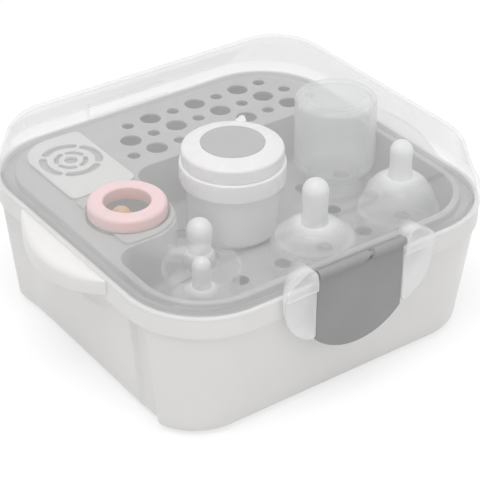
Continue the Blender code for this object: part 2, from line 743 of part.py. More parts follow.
def strip_pad():
    """The raised pad on the strip round the small cup's well, flush with the tray behind it."""
    back = TRAY_FRONT - STRIP_PAD_MARGIN
    outline = rounded_polygon((
        (STRIP_PAD_LEFT, back, STRIP_PAD_CORNER / 2),
        (STRIP_PAD_LEFT, STRIP_PAD_FRONT, STRIP_PAD_CORNER),
        (STRIP_PAD_RIGHT, STRIP_PAD_FRONT, STRIP_NOSE_RADIUS - STRIP_PAD_MARGIN),
        (STRIP_PAD_RIGHT, back, STRIP_PAD_CORNER / 2),
    ))
    return helper("strip_pad", prism(outline, DECK_HEIGHT - RACK_SHEET / 2, DECK_HEIGHT + STRIP_PAD_TALL))


def steam_hole_places():
    """Centres and radii of the holes in the back deck and in the floors: plain staggered rows."""
    places = []
    pitch_share = 2.55
    small_hole_share = 0.58
    first_column_share = 0.75
    row_shares = (0.0, 1.0, 2.0)
    most_columns = 9
    pitch = STEAM_HOLE_RADIUS * pitch_share
    first_y = WELL_BACK + RACK_SHEET + STEAM_HOLE_RADIUS * 2
    corner_x, corner_y = DECK_HALF_WIDTH - DECK_CORNER, DECK_HALF_DEPTH - DECK_CORNER
    room = DECK_CORNER - RACK_SHEET * 2
    for row, share in enumerate(row_shares):
        y = first_y + pitch * share
        for column in range(most_columns - row):
            x = STRIP_RIGHT + pitch * (first_column_share + column + share / 2)
            radius = STEAM_HOLE_RADIUS if (row + column) % 2 else STEAM_HOLE_RADIUS * small_hole_share
            past_corner = math.hypot(max(0.0, x - corner_x), max(0.0, y - corner_y))
            if past_corner + radius < room:
                places.append((x, y, radius))
    return places


def drain_places():
    """Centres of the drain and steam holes in the big well's floor."""
    pitch_share = 6.0
    row_shares = (-2.6, -1.6, -0.6, 0.4)
    columns_each_side = 3
    pitch = DRAIN_RADIUS * pitch_share
    places = []
    for column in range(-columns_each_side, columns_each_side + 1):
        for row_share in row_shares:
            x, y = pitch * column, pitch * row_share
            behind_strip = x < STRIP_RIGHT + DRAIN_RADIUS * 2 and y > STRIP_FRONT - DRAIN_RADIUS * 2
            if not behind_strip and y < WELL_BACK - DRAIN_RADIUS * 2:
                places.append((x, y, DRAIN_RADIUS))
    return places


def joined_prisms(name, places, low, high, facets):
    """One helper that holds a row of separate cylinders."""
    mesh_data = bmesh.new()
    for x, y, radius in places:
        ring = arc(x, y, radius, 0, math.tau * (facets - 1) / facets, facets - 1)
        rings = [[mesh_data.verts.new((px, py, z)) for px, py in ring] for z in (low, high)]
        for i in range(facets):
            j = (i + 1) % facets
            mesh_data.faces.new((rings[0][i], rings[0][j], rings[1][j], rings[1][i]))
        mesh_data.faces.new(list(reversed(rings[0])))
        mesh_data.faces.new(rings[1])
    return helper(name, mesh_data)


def build_rack():
    """The grey rack: a flange on the tub's ledge, a raised deck and two wells for the load."""
    seat = RIM_HEIGHT - LEDGE_DROP + SEAT_GAP
    flange = [size - RIM_WALL - RACK_RIM_GAP for size in (RIM_HALF_WIDTH, RIM_HALF_DEPTH, RIM_CORNER)]
    full = (DECK_HALF_WIDTH, DECK_HALF_DEPTH, DECK_CORNER)
    deck = rounded_rectangle(*full)
    brim = rounded_rectangle(*flange)
    crown = rounded_rectangle(*[size - RACK_SHEET / 2 for size in full])
    levels = [at_height(brim, seat), at_height(brim, seat + RACK_SHEET), at_height(deck, seat + RACK_SHEET)]
    levels += [at_height(deck, DECK_HEIGHT - RACK_SHEET / 2), at_height(crown, DECK_HEIGHT)]
    rack = add_object("rack", loft(levels), "rack_grey_plastic")
    hollow = rounded_rectangle(*[size - RACK_SHEET for size in full])
    under_deck = prism(hollow, seat - OVERRUN, DECK_HEIGHT - RACK_SHEET)
    combine(rack, helper("deck_hollow", under_deck), "DIFFERENCE")
    skin, space = well_shell("well", well_outline, WELL_FLOOR_HEIGHT, DECK_HEIGHT - RACK_SHEET / 2)
    cup_skin, cup_space = well_shell("cup_well", cup_well_outline, CUP_WELL_FLOOR_HEIGHT,
                                     DECK_HEIGHT - RACK_SHEET / 2)
    combine(rack, skin, "UNION")
    combine(rack, cup_skin, "UNION")
    combine(rack, strip_pad(), "UNION")
    combine(rack, space, "DIFFERENCE")
    combine(rack, cup_space, "DIFFERENCE")
    deck_low = DECK_HEIGHT - RACK_SHEET - OVERRUN
    steam = joined_prisms("steam_holes", steam_hole_places(), deck_low, DECK_HEIGHT + OVERRUN, 12)
    combine(rack, steam, "DIFFERENCE")
    drain_low = WELL_FLOOR_HEIGHT - RACK_SHEET - OVERRUN
    drains = joined_prisms("drain_holes", drain_places(), drain_low, WELL_FLOOR_HEIGHT + OVERRUN, 8)
    combine(rack, drains, "DIFFERENCE")
    return rack


def slot_outline(x, y, radius, start, end, width):
    """A banana-shaped slot along an arc, with flat ends."""
    steps = CORNER_FACETS - 1
    outer = arc(x, y, radius + width / 2, start, end, steps)
    return outer + list(reversed(arc(x, y, radius - width / 2, start, end, steps)))


def build_tray():
    """The pale tray for small parts on the strip's back end, with ring slots round a hole."""
    back = DECK_HALF_DEPTH - TRAY_MARGIN
    left, right = TRAY_LEFT, TRAY_RIGHT
    outline = rounded_polygon((
        (left, back, TRAY_OUTER_CORNER),
        (left, TRAY_FRONT, TRAY_CORNER),
        (right, TRAY_FRONT, TRAY_CORNER),
        (right, back, TRAY_CORNER),
    ))
    low = DECK_HEIGHT + SEAT_GAP
    tray = add_object("parts_tray", prism(outline, low, low + TRAY_SHEET), "pale_grey_plastic")
    centre_x = (left + right) / 2
    centre_y = (back + TRAY_FRONT) / 2 + TRAY_MARGIN
    cut_low, cut_high = low - OVERRUN, low + TRAY_SHEET + OVERRUN
    hole = helper("tray_hole", disc_prism(centre_x, centre_y, SLOT_WIDTH, cut_low, cut_high, 12))
    combine(tray, hole, "DIFFERENCE")
    half_turn_share = 0.78
    turn_share = 0.5
    quarters = 4
    for ring_number in range(2):
        radius = SLOT_FIRST_RADIUS + SLOT_SPACING * ring_number
        for quarter in range(quarters):
            middle = math.tau / quarters * (quarter + turn_share * (ring_number + 1))
            reach = math.tau / quarters * half_turn_share / 2
            outline = slot_outline(centre_x, centre_y, radius, middle - reach, middle + reach, SLOT_WIDTH)
            slot = helper(f"tray_slot_{ring_number}{quarter}", prism(outline, cut_low, cut_high))
            combine(tray, slot, "DIFFERENCE")
    return tray


# Lid and latches


def lid_sections():
    """Outer sizes of the lid from its skirt to its top, as (half width, half depth, corner, z)."""
    skirt = [size + LID_SKIRT_PROUD for size in (RIM_HALF_WIDTH, RIM_HALF_DEPTH, RIM_CORNER)]
    foot = RIM_HEIGHT + SEAT_GAP
    step = [size - LID_SKIRT_STEP for size in skirt]
    shoulder = (LID_SHOULDER_HALF_WIDTH, LID_SHOULDER_HALF_DEPTH, LID_SHOULDER_CORNER)
    top = (LID_TOP_HALF_WIDTH, LID_TOP_HALF_DEPTH, LID_TOP_CORNER)
    shoulder_z = LID_HEIGHT - LID_SHOULDER_DROP
    skirt_top = foot + LID_SKIRT_TALL
    sections = [(*skirt, foot), (*skirt, skirt_top), (*step, skirt_top + LID_SKIRT_STEP / 2)]
    steps = 5
    for number in range(steps + 1):
        angle = math.pi / 2 * number / steps
        sizes = [high + (low - high) * math.cos(angle) for low, high in zip(shoulder, top)]
        sections.append((*sizes, shoulder_z + LID_SHOULDER_DROP * math.sin(angle)))
    return sections


def lid_cavity_sections():
    """Inner sizes of the lid: the lip's bore, then the walls at LID_WALL inside the outer ones."""
    outer = lid_sections()
    mouth = [size - RIM_WALL - LID_LIP_GAP for size in (RIM_HALF_WIDTH, RIM_HALF_DEPTH, RIM_CORNER)]
    bore = [size - LID_LIP_THICK for size in mouth]
    lip_foot = RIM_HEIGHT - LID_LIP_DROP
    sections = [(*bore, lip_foot - OVERRUN), (*bore, RIM_HEIGHT + LID_WALL)]
    for width, depth, corner, z in outer[2:]:
        share = (z - outer[3][3]) / LID_SHOULDER_DROP
        drop = LID_WALL * max(0.0, min(1.0, share))
        sections.append((width - LID_WALL, depth - LID_WALL, corner - LID_WALL, z - drop))
    return sections


def lug_outline(side):
    """The (x, z) outline of one lug on the front, hump above and rounded foot below."""
    inner = LATCH_WIDTH / 2 + LUG_SIDE_GAP
    foot = RIM_HEIGHT - LUG_FOOT_BELOW_RIM
    hump = RIM_HEIGHT + LUG_HUMP_OVER_RIM
    tall = hump - foot
    shares = (
        (0.00, 0.00), (0.36, 0.07), (0.66, 0.18), (0.86, 0.32), (0.97, 0.50), (1.00, 0.68),
        (0.97, 0.80), (0.90, 0.86), (0.72, 0.91), (0.55, 0.955), (0.40, 0.99), (0.24, 1.00),
        (0.10, 0.955), (0.02, 0.88), (0.00, 0.80),
    )
    return [(side * (inner + LUG_LENGTH * x_share), foot + tall * z_share) for x_share, z_share in shares]


def build_lug(side):
    """A front lug as one helper: a thin plate over the tub's front, thickened at the hinge."""
    outline = lug_outline(side)
    face = RIM_HALF_DEPTH + LATCH_STANDOFF
    root_z = RIM_HEIGHT + SEAT_GAP
    name = f"lug_{'right' if side > 0 else 'left'}"
    plate = helper(name, wall_prism(outline, FRONT * face, FRONT * (face + LUG_THICK)))
    upper = [(x, max(z, root_z)) for x, z in outline if z > root_z - LUG_LENGTH / 4]
    upper[0] = (upper[0][0], root_z)
    span = sorted({x for x, z in outline}, key=abs)
    upper = [(x, z) for x, z in upper if z > root_z] + [(span[0], root_z), (span[-1], root_z)]
    boss = helper(f"{name}_boss", wall_prism(upper, FRONT * (face - LUG_ROOT_DEPTH),
                                             FRONT * (face - LATCH_STANDOFF / 2 + LUG_BOSS_THICK)))
    combine(plate, boss, "UNION")
    return plate


def catch_rib(name, facing):
    """The rib inside a latch or hook that catches under the tub's bead."""
    inner = RIM_HALF_DEPTH + LATCH_STANDOFF
    rib_top = RIM_HEIGHT - BEAD_BELOW_RIM - BEAD_TALL / 2 - SEAT_GAP
    half, foot = CATCH_RIB_HALF_LENGTH, rib_top - CATCH_RIB_TALL
    rib = ((-half, foot), (half, foot), (half, rib_top), (-half, rib_top))
    tip, root = inner - CATCH_RIB_REACH, inner + LATCH_THICK / 2
    return helper(f"{name}_rib", wall_prism(rib, facing * tip, facing * root))


def build_hook():
    """The fixed hook behind, as one helper: a flap from the skirt down over the tub's bead."""
    half, low, high = LATCH_WIDTH / 2, RIM_HEIGHT - HOOK_BELOW_RIM, RIM_HEIGHT + LID_SKIRT_TALL
    root_z = RIM_HEIGHT + SEAT_GAP
    face = RIM_HALF_DEPTH + LATCH_STANDOFF
    small = HOOK_CORNER / 4
    outline = rounded_polygon(((half, low, HOOK_CORNER), (half, high, small), (-half, high, small),
                               (-half, low, HOOK_CORNER)))
    flap = helper("hook", wall_prism(outline, face, face + LUG_THICK))
    upper = ((half, root_z), (half, high - small), (half - small, high), (small - half, high),
             (-half, high - small), (-half, root_z))
    boss = wall_prism(upper, face - LUG_ROOT_DEPTH, face - LATCH_STANDOFF / 2 + LUG_BOSS_THICK)
    combine(flap, helper("hook_boss", boss), "UNION")
    combine(flap, catch_rib("hook", BACK), "UNION")
    return flap


def pin_centre():
    """Where the latch's hinge line crosses the middle plane."""
    standoff = RIM_HALF_DEPTH + LATCH_STANDOFF
    return Vector((0.0, FRONT * (standoff + BARREL_RADIUS - LATCH_STANDOFF / 6), PIN_HEIGHT))


def cross_bar(name, radius, half_length, facets=12):
    """A helper cylinder along the hinge line."""
    centre = pin_centre()
    ring = arc(centre.y, centre.z, radius, 0, math.tau * (facets - 1) / facets, facets - 1)
    return helper(name, loft([[(x, y, z) for y, z in ring] for x in (-half_length, half_length)]))


def build_lid():
    """The clear lid: a dome with a skirt, an inner lip, two lugs for the latch and a hook behind."""
    levels = [at_height(rounded_rectangle(w, d, c), z) for w, d, c, z in lid_sections()]
    mouth = [size - RIM_WALL - LID_LIP_GAP for size in (RIM_HALF_WIDTH, RIM_HALF_DEPTH, RIM_CORNER)]
    lip = rounded_rectangle(*mouth)
    foot = [at_height(lip, RIM_HEIGHT - LID_LIP_DROP), at_height(lip, RIM_HEIGHT + SEAT_GAP)]
    lid = add_object("lid", loft(foot + levels), "clear_plastic", (0.0, 0.0, RIM_HEIGHT))
    for side in (-1, 1):
        combine(lid, build_lug(side), "UNION")
    combine(lid, build_hook(), "UNION")
    cavity = [at_height(rounded_rectangle(w, d, c), z) for w, d, c, z in lid_cavity_sections()]
    combine(lid, helper("lid_cavity", loft(cavity)), "DIFFERENCE")
    reach = LATCH_WIDTH / 2 + PIN_REACH + PIN_GAP * 3
    combine(lid, cross_bar("pin_bore", PIN_RADIUS + PIN_GAP, reach), "DIFFERENCE")
    return lid


def latch_outline():
    """The (x, z) outline of a latch's flap: straight sides and an arc for its lower edge."""
    half = LATCH_WIDTH / 2
    drop = LATCH_END_HEIGHT - LATCH_MIDDLE_HEIGHT
    radius = (half**2 + drop**2) / (2 * drop)
    centre_z = LATCH_MIDDLE_HEIGHT + radius
    reach = math.asin(half / radius)
    lower = arc(0.0, centre_z, radius, -math.pi / 2 - reach, -math.pi / 2 + reach, CORNER_FACETS * 2)
    top = PIN_HEIGHT - LATCH_ROOT_BELOW_PIN
    return lower + [(half, top), (-half, top)]


def build_latch(lid):
    """The grey latch: flap, rounded barrel with a notch, stub pins and a catch rib inside."""
    inner = RIM_HALF_DEPTH + LATCH_STANDOFF
    outer = inner + LATCH_THICK
    centre = pin_centre()
    flap = wall_prism(latch_outline(), FRONT * inner, FRONT * outer)
    latch = add_object("latch_front", flap, "latch_grey_plastic", centre)
    latch.parent = lid
    latch.location = centre - lid.location
    combine(latch, cross_bar("latch_barrel", BARREL_RADIUS, LATCH_WIDTH / 2), "UNION")
    near_side, far_side = (BARREL_NOTCH_OFFSET + half for half in
                           (-BARREL_NOTCH_WIDTH / 2, BARREL_NOTCH_WIDTH / 2))
    notch_low = PIN_HEIGHT - BARREL_NOTCH_DEPTH
    notch_high = PIN_HEIGHT + BARREL_RADIUS + OVERRUN
    notch = ((near_side, notch_low), (far_side, notch_low), (far_side, notch_high), (near_side, notch_high))
    notch_near = inner - BARREL_RADIUS - OVERRUN
    notch_far = outer + BARREL_RADIUS + OVERRUN
    cutter = helper("latch_notch", wall_prism(notch, FRONT * notch_near, FRONT * notch_far))
    combine(latch, cutter, "DIFFERENCE")
    for side in (-1, 1):
        half = LATCH_WIDTH / 2
        ring = arc(centre.y, centre.z, PIN_RADIUS, 0, math.tau * 11 / 12, 11)
        ends = (side * (half - FUSE), side * (half + PIN_REACH))
        stub = loft([[(x, y, z) for y, z in ring] for x in ends])
        combine(latch, helper(f"latch_pin_{'right' if side > 0 else 'left'}", stub), "UNION")
    combine(latch, catch_rib("latch", FRONT), "UNION")
    return latch


# Load


def cup_profile(cup):
    """The (r, h) profile of a cup with its mouth up, from the axis outside to the axis inside."""
    tilt = (cup.mouth_radius - cup.closed_radius) / cup.height
    corner = [(cup.closed_radius - cup.round + x, cup.round + z)
              for x, z in arc(0.0, 0.0, cup.round, -math.pi / 2, 0, FILLET_FACETS)]
    inner_round = cup.round / 2
    inside = cup.closed_radius - cup.wall
    inner = [(inside - inner_round + x, cup.wall + inner_round + z)
             for x, z in arc(0.0, 0.0, inner_round, 0, -math.pi / 2, FILLET_FACETS - 1)]
    mouth = [(cup.mouth_radius, cup.height), (cup.mouth_radius - cup.wall, cup.height)]
    inner[0] = (inner[0][0] + tilt * cup.wall, inner[0][1])
    return [(0.0, 0.0), *corner, *mouth, *inner, (0.0, cup.wall)]


def build_cup(name, cup, finish):
    """A cup, or a hood when its mouth is down."""
    profile = cup_profile(cup)
    if not cup.mouth_up:
        profile = [(radius, cup.height - height) for radius, height in profile]
    return add_object(name, lathe(profile, cup.x, cup.y, cup.seat), finish)


def teat_side(teat, inset):
    """A teat's dome, neck and tip as (r, h), inset from its outer skin."""
    neck_share = 0.86
    neck = teat.tip_radius * neck_share
    side = []
    for angle_share in (0.0, 0.34, 0.67, 0.93):
        angle = math.pi / 2 * angle_share
        radius = neck + (teat.dome_radius - neck) * math.cos(angle)
        side.append((radius - inset, teat.dome_height * math.sin(angle)))
    shaft_top = teat.height - teat.tip_radius
    side.append((neck - inset, blend(teat.dome_height, shaft_top, 0.35)))
    for angle_share in (0.0, 0.34, 0.67):
        angle = math.pi / 2 * angle_share
        side.append(((teat.tip_radius - inset) * math.cos(angle),
                     shaft_top + (teat.tip_radius - inset) * math.sin(angle)))
    return side + [(0.0, teat.height - inset)]


def build_teat(name, teat, finish):
    """A hollow teat with its round flange."""
    outer = teat_side(teat, 0.0)
    outer[0] = (outer[0][0], teat.flange_thick)
    outer = [(radius, max(height, teat.flange_thick)) for radius, height in outer]
    inner = teat_side(teat, teat.wall)
    profile = [*reversed(outer), (teat.flange_radius, teat.flange_thick), (teat.flange_radius, 0.0)]
    return add_object(name, lathe(profile + inner, teat.x, teat.y, teat.seat, SMALL_LATHE_FACETS), finish)


def build_jar():
    """The storage jar: clear body, white collar, white cap with its pull tab, grey disc."""
    x, y = WELL_RIGHT * JAR.x_share, -WELL_FRONT * JAR.y_share
    body_radius = LOAD_PITCH * JAR.body_radius_share
    collar_radius = LOAD_PITCH * JAR.collar_radius_share
    cap_radius = LOAD_PITCH * JAR.cap_radius_share
    disc_radius = LOAD_PITCH * JAR.disc_radius_share
    body_cup = Cup(x=x, y=y, seat=WELL_SEAT, mouth_radius=body_radius,
                   closed_radius=body_radius - JAR.wall / 2, height=LOAD_HEIGHT * JAR.body_height_share,
                   wall=JAR.wall, round=JAR.body_round, mouth_up=True)
    body = build_cup("jar_body", body_cup, "clear_plastic")
    web_low = WELL_SEAT + body_cup.height + SEAT_GAP
    web_high = web_low + JAR.collar_web
    collar_low = web_high - LOAD_HEIGHT * JAR.collar_height_share
    bore = body_radius + PIN_GAP
    lip_bore = body_radius - JAR.wall - JAR.collar_lip
    ease = JAR.collar_web / 2
    collar_profile = [(bore, collar_low), (collar_radius, collar_low), (collar_radius, web_high - ease),
                      (collar_radius - ease, web_high), (lip_bore, web_high), (lip_bore, web_low),
                      (bore, web_low)]
    collar = add_object("jar_collar", lathe(collar_profile, x, y, 0.0), "cap_white_plastic")
    cap_low = web_high + SEAT_GAP
    cap_top = cap_low + LOAD_HEIGHT * JAR.cap_height_share
    skirt_bore = cap_radius - JAR.cap_wall
    roof = cap_top - JAR.cap_wall - JAR.disc_depth
    seat = disc_radius + SEAT_GAP
    edge_top = cap_top - LOAD_HEIGHT * JAR.crown_height_share
    rounding = [(cap_radius - JAR.cap_round + r, edge_top - JAR.cap_round + z)
                for r, z in arc(0.0, 0.0, JAR.cap_round, 0, math.pi / 2, FILLET_FACETS)]
    bulge = (blend(cap_radius, seat, 0.5), blend(edge_top, cap_top, 0.7))
    cap_profile = [(0.0, roof), (disc_radius, roof), (skirt_bore, edge_top - JAR.cap_wall),
                   (skirt_bore, cap_low), (cap_radius, cap_low), *rounding, bulge, (seat, cap_top),
                   (seat, cap_top - JAR.disc_depth), (0.0, cap_top - JAR.disc_depth)]
    cap = add_object("jar_cap", lathe(cap_profile, x, y, 0.0), "cap_white_plastic")
    half_tab = LOAD_PITCH * JAR.tab_width_share / 2
    root = cap_radius - JAR.cap_round - FUSE
    tip = cap_radius + LOAD_PITCH * JAR.tab_length_share
    tab_plan = [(x + (along - across) * math.sqrt(0.5), y + (along + across) * math.sqrt(0.5))
                for along, across in ((root, -half_tab), (tip, -half_tab / 3), (tip, half_tab / 3),
                                      (root, half_tab))]
    tab = helper("cap_tab", prism(tab_plan, edge_top - JAR.cap_wall, edge_top + JAR.tab_rise))
    combine(cap, tab, "UNION")
    disc_low = cap_top - JAR.disc_depth + SEAT_GAP
    disc_plan = arc(x, y, disc_radius, 0, math.tau * (LATHE_FACETS - 1) / LATHE_FACETS, LATHE_FACETS - 1)
    disc = add_object("jar_disc", prism(disc_plan, disc_low, cap_top + SEAT_GAP / 3), "disc_grey_plastic")
    return body, collar, cap, disc


def build_bottle():
    """The feeding bottle, mouth down in the well."""
    radius = LOAD_PITCH * BOTTLE.radius_share
    neck_radius = LOAD_PITCH * BOTTLE.neck_radius_share
    neck_top = LOAD_HEIGHT * BOTTLE.neck_height_share
    shoulder_top = neck_top + LOAD_HEIGHT * BOTTLE.shoulder_height_share
    top, wall, rounding = LOAD_HEIGHT, BOTTLE.wall, BOTTLE.round
    base = [(radius - rounding + r, top - rounding + z)
            for r, z in arc(0.0, 0.0, rounding, 0, math.pi / 2, FILLET_FACETS)]
    outer = [(neck_radius, 0.0), (neck_radius, neck_top), (radius, shoulder_top), *base, (0.0, top)]
    inner = [(0.0, top - wall), (radius - wall - rounding / 2, top - wall),
             (radius - wall, top - wall - rounding / 2), (radius - wall, shoulder_top),
             (neck_radius - wall, neck_top), (neck_radius - wall, 0.0)]
    x, y = WELL_RIGHT * BOTTLE.x_share, -WELL_FRONT * BOTTLE.y_share
    return add_object("feeding_bottle", lathe(inner + outer, x, y, WELL_SEAT), "clear_plastic")


def build_screw_ring():
    """The pink screw ring lying on the mouth of the small cup."""
    radius = CUP_WELL_RADIUS * RING.radius_share
    bore_radius = CUP_WELL_RADIUS * RING.bore_radius_share
    low = RING_CUP.seat + RING_CUP.height + SEAT_GAP
    high = low + RING.height
    top_outer = [(radius - RING.round + r, high - RING.round + z)
                 for r, z in arc(0.0, 0.0, RING.round, 0, math.pi / 2, FILLET_FACETS)]
    ease = RING.round / 3
    profile = [(bore_radius, low), (radius, low), *top_outer, (bore_radius + ease, high),
               (bore_radius, high - ease)]
    return add_object("pink_screw_ring", lathe(profile, RING_CUP.x, RING_CUP.y, 0.0), "pink_plastic")


def build_load():
    """Everything that the photograph shows standing in the rack."""
    build_jar()
    build_bottle()
    build_cup("ring_cup", RING_CUP, "clear_plastic")
    build_screw_ring()
    build_teat("latex_teat", LATEX_TEAT, "latex")
    build_cup("front_cup", FRONT_CUP, "clear_plastic")
    build_teat("front_teat", FRONT_TEAT, "silicone")
    build_teat("short_teat", SHORT_TEAT, "silicone")
    build_cup("tall_teat_hood", TALL_HOOD, "clear_plastic")
    build_teat("tall_teat", TALL_TEAT, "silicone")
    build_cup("wide_teat_hood", WIDE_HOOD, "clear_plastic")
    build_teat("wide_teat", WIDE_TEAT, "silicone")


def main():
    """Builds the whole sterilizer."""
    logging.basicConfig(level=logging.INFO)
    clear_scene()
    lid = build_lid()
    cut_pieces = [build_tub(), build_rack(), build_tray(), lid]
    cut_pieces.append(build_latch(lid))
    for piece in cut_pieces:
        settle(piece)
    build_load()
    log.info("sterilizer built: %d objects", len(bpy.data.objects))


main()
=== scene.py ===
"""Looks of the microwave steam sterilizer: tub, rack, tray, clear lid, latch and the load in the rack.

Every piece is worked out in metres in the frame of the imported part: +Z up, the front faces -Y.
"""

import logging
import math
from collections.abc import Callable
from dataclasses import dataclass, field
from enum import Enum

import bmesh
import bpy
import numpy as np
from mathutils import Matrix


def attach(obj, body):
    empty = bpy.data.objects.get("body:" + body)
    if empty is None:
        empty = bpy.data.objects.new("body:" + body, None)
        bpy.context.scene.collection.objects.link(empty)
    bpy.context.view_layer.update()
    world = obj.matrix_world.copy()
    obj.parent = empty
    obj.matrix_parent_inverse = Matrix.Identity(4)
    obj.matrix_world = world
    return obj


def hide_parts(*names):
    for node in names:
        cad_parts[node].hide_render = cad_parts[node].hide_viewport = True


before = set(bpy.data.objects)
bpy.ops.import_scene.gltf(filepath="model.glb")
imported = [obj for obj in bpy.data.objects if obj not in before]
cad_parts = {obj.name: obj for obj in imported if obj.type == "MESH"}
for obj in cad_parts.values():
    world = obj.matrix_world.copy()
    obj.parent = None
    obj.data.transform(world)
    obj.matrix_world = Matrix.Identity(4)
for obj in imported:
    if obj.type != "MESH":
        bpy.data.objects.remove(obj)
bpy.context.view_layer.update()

log = logging.getLogger("sterilizer.looks")

Array = np.ndarray
Sizes = tuple[float, float, float]
Levels = list[tuple[Array | float, float]]
QUARTER = math.pi / 2
SHARP_ANGLE = math.radians(24)
MERGE = 1e-6  # points of a mesh closer than this become one
TINY = 1e-9  # a length that counts as zero
SAME_POINT = 1e-7  # points of a profile closer than this count as one
STRAIGHT = QUARTER - 1e-4  # half the angle between two sides from which their corner counts as none
SIDE_SHARE = 0.49  # the most of a side that one of its corners' arcs takes up
SEAT_GAP = 0.0003  # between pieces that rest on each other
FUSE = 0.0012  # how far a piece that is joined on reaches into the other
OVERRUN = 0.0030  # how far a cutting solid reaches past the face that it cuts
WHITE_LIGHT = (1.0, 1.0, 1.0, 1.0)
FRONT = -1
BACK = 1


class Body(Enum):
    """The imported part's bodies."""

    TUB = "tub"
    LID = "lid"
    FRONT_LATCH = "front_latch"


# Shells: vertices with quads and triangles, before they become meshes


@dataclass
class Shell:
    """Points with the quads and triangles over them."""

    points: Array
    quads: Array = field(default_factory=lambda: np.zeros((0, 4), np.int64))
    triangles: Array = field(default_factory=lambda: np.zeros((0, 3), np.int64))

    def joined(self, *others: "Shell") -> "Shell":
        """This shell and others side by side in one.

        Args:
            others: Shells to put beside this one.

        Returns:
            One shell that holds them all.
        """
        shells = (self, *others)
        starts = np.cumsum([0, *[len(shell.points) for shell in shells[:-1]]])
        return Shell(
            np.concatenate([shell.points for shell in shells]),
            np.concatenate([shell.quads + start for shell, start in zip(shells, starts)]),
            np.concatenate([shell.triangles + start for shell, start in zip(shells, starts)]),
        )


def grid_shell(grid: Array, wrap_rows: bool = False, first_pole: Array | None = None,
               last_pole: Array | None = None) -> Shell:
    """A surface over a grid of points whose columns close on themselves.

    The quad at (i, j) joins its row to the next, and a pole is one point that a fan of triangles
    joins to the first or last row.

    Args:
        grid: Points of shape (rows, columns, 3).
        wrap_rows: Whether the last row meets the first.
        first_pole: Point that closes the first row.
        last_pole: Point that closes the last row.

    Returns:
        The shell.
    """
    rows, columns = grid.shape[:2]
    here = np.arange(columns)
    after = (here + 1) % columns
    lower = np.arange(rows if wrap_rows else rows - 1)[:, None] * columns
    upper = (lower + columns) % (rows * columns)
    quads = np.stack([lower + here, lower + after, upper + after, upper + here], axis=-1).reshape(-1, 4)
    points = grid.reshape(-1, 3)
    fans = [np.zeros((0, 3), np.int64)]
    if first_pole is not None:
        points = np.vstack([points, first_pole])
        fans.append(np.stack([np.full(columns, len(points) - 1), after, here], axis=-1))
    if last_pole is not None:
        points = np.vstack([points, last_pole])
        base = (rows - 1) * columns
        fans.append(np.stack([np.full(columns, len(points) - 1), base + here, base + after], axis=-1))
    return Shell(points, quads, np.concatenate(fans))


def closed_shell(grid: Array) -> Shell:
    """A grid whose first and last rows are closed by fans round their own middles."""
    return grid_shell(grid, first_pole=grid[0].mean(axis=0), last_pole=grid[-1].mean(axis=0))


def blend(first: Array | float, second: Array | float, share: Array | float) -> Array:
    """The value a share of the way from first to second."""
    return first + (second - first) * share


def polar(radius: Array | float, angle: Array) -> Array:
    """The points radius times (cos, sin) of the angles."""
    return np.stack([radius * np.cos(angle), radius * np.sin(angle)], axis=-1)


def quarter(radius: float, steps: int) -> list[tuple[float, float]]:
    """A quarter circle from a flat face to an upright one, as pairs (inset, rise).

    At angle a the inset is r (1 - sin a) and the rise r (1 - cos a).
    """
    return [(radius * (1 - math.sin(angle)), radius * (1 - math.cos(angle)))
            for angle in np.linspace(0, QUARTER, steps + 1)]


def rounded_outline(half_width: Array, half_depth: Array, corner: Array, arc_points: int = 20,
                    side_points: int = 6) -> Array:
    """Rounded rectangles, one for each level, counter-clockwise from the right side's back end.

    A corner point is its arc's centre plus the radius times (cos, sin), and a side point lies a
    share of the way from one arc's end to the next one's start.

    Args:
        half_width: Half sizes along X, one for each level.
        half_depth: Half sizes along Y.
        corner: Corner radii.
        arc_points: Points on each corner, ends included.
        side_points: Points on each side, ends left out.

    Returns:
        Points of shape (levels, 4 * (arc_points + side_points), 2).
    """
    width, depth, radius = (np.atleast_1d(value).astype(float)[:, None] for value in
                            (half_width, half_depth, corner))
    arcs = []
    for turn, (sign_x, sign_y) in enumerate(((1, 1), (-1, 1), (-1, -1), (1, -1))):
        centre = np.stack([sign_x * (width - radius), sign_y * (depth - radius)], axis=-1)
        arcs.append(centre + polar(radius, (turn + np.linspace(0, 1, arc_points)) * QUARTER))
    share = np.linspace(0, 1, side_points + 2)[1:-1][None, :, None]
    runs = []
    for turn, arc in enumerate(arcs):
        following = arcs[(turn + 1) % 4]
        runs += [arc, arc[:, -1:] * (1 - share) + following[:, :1] * share]
    return np.concatenate(runs, axis=1)


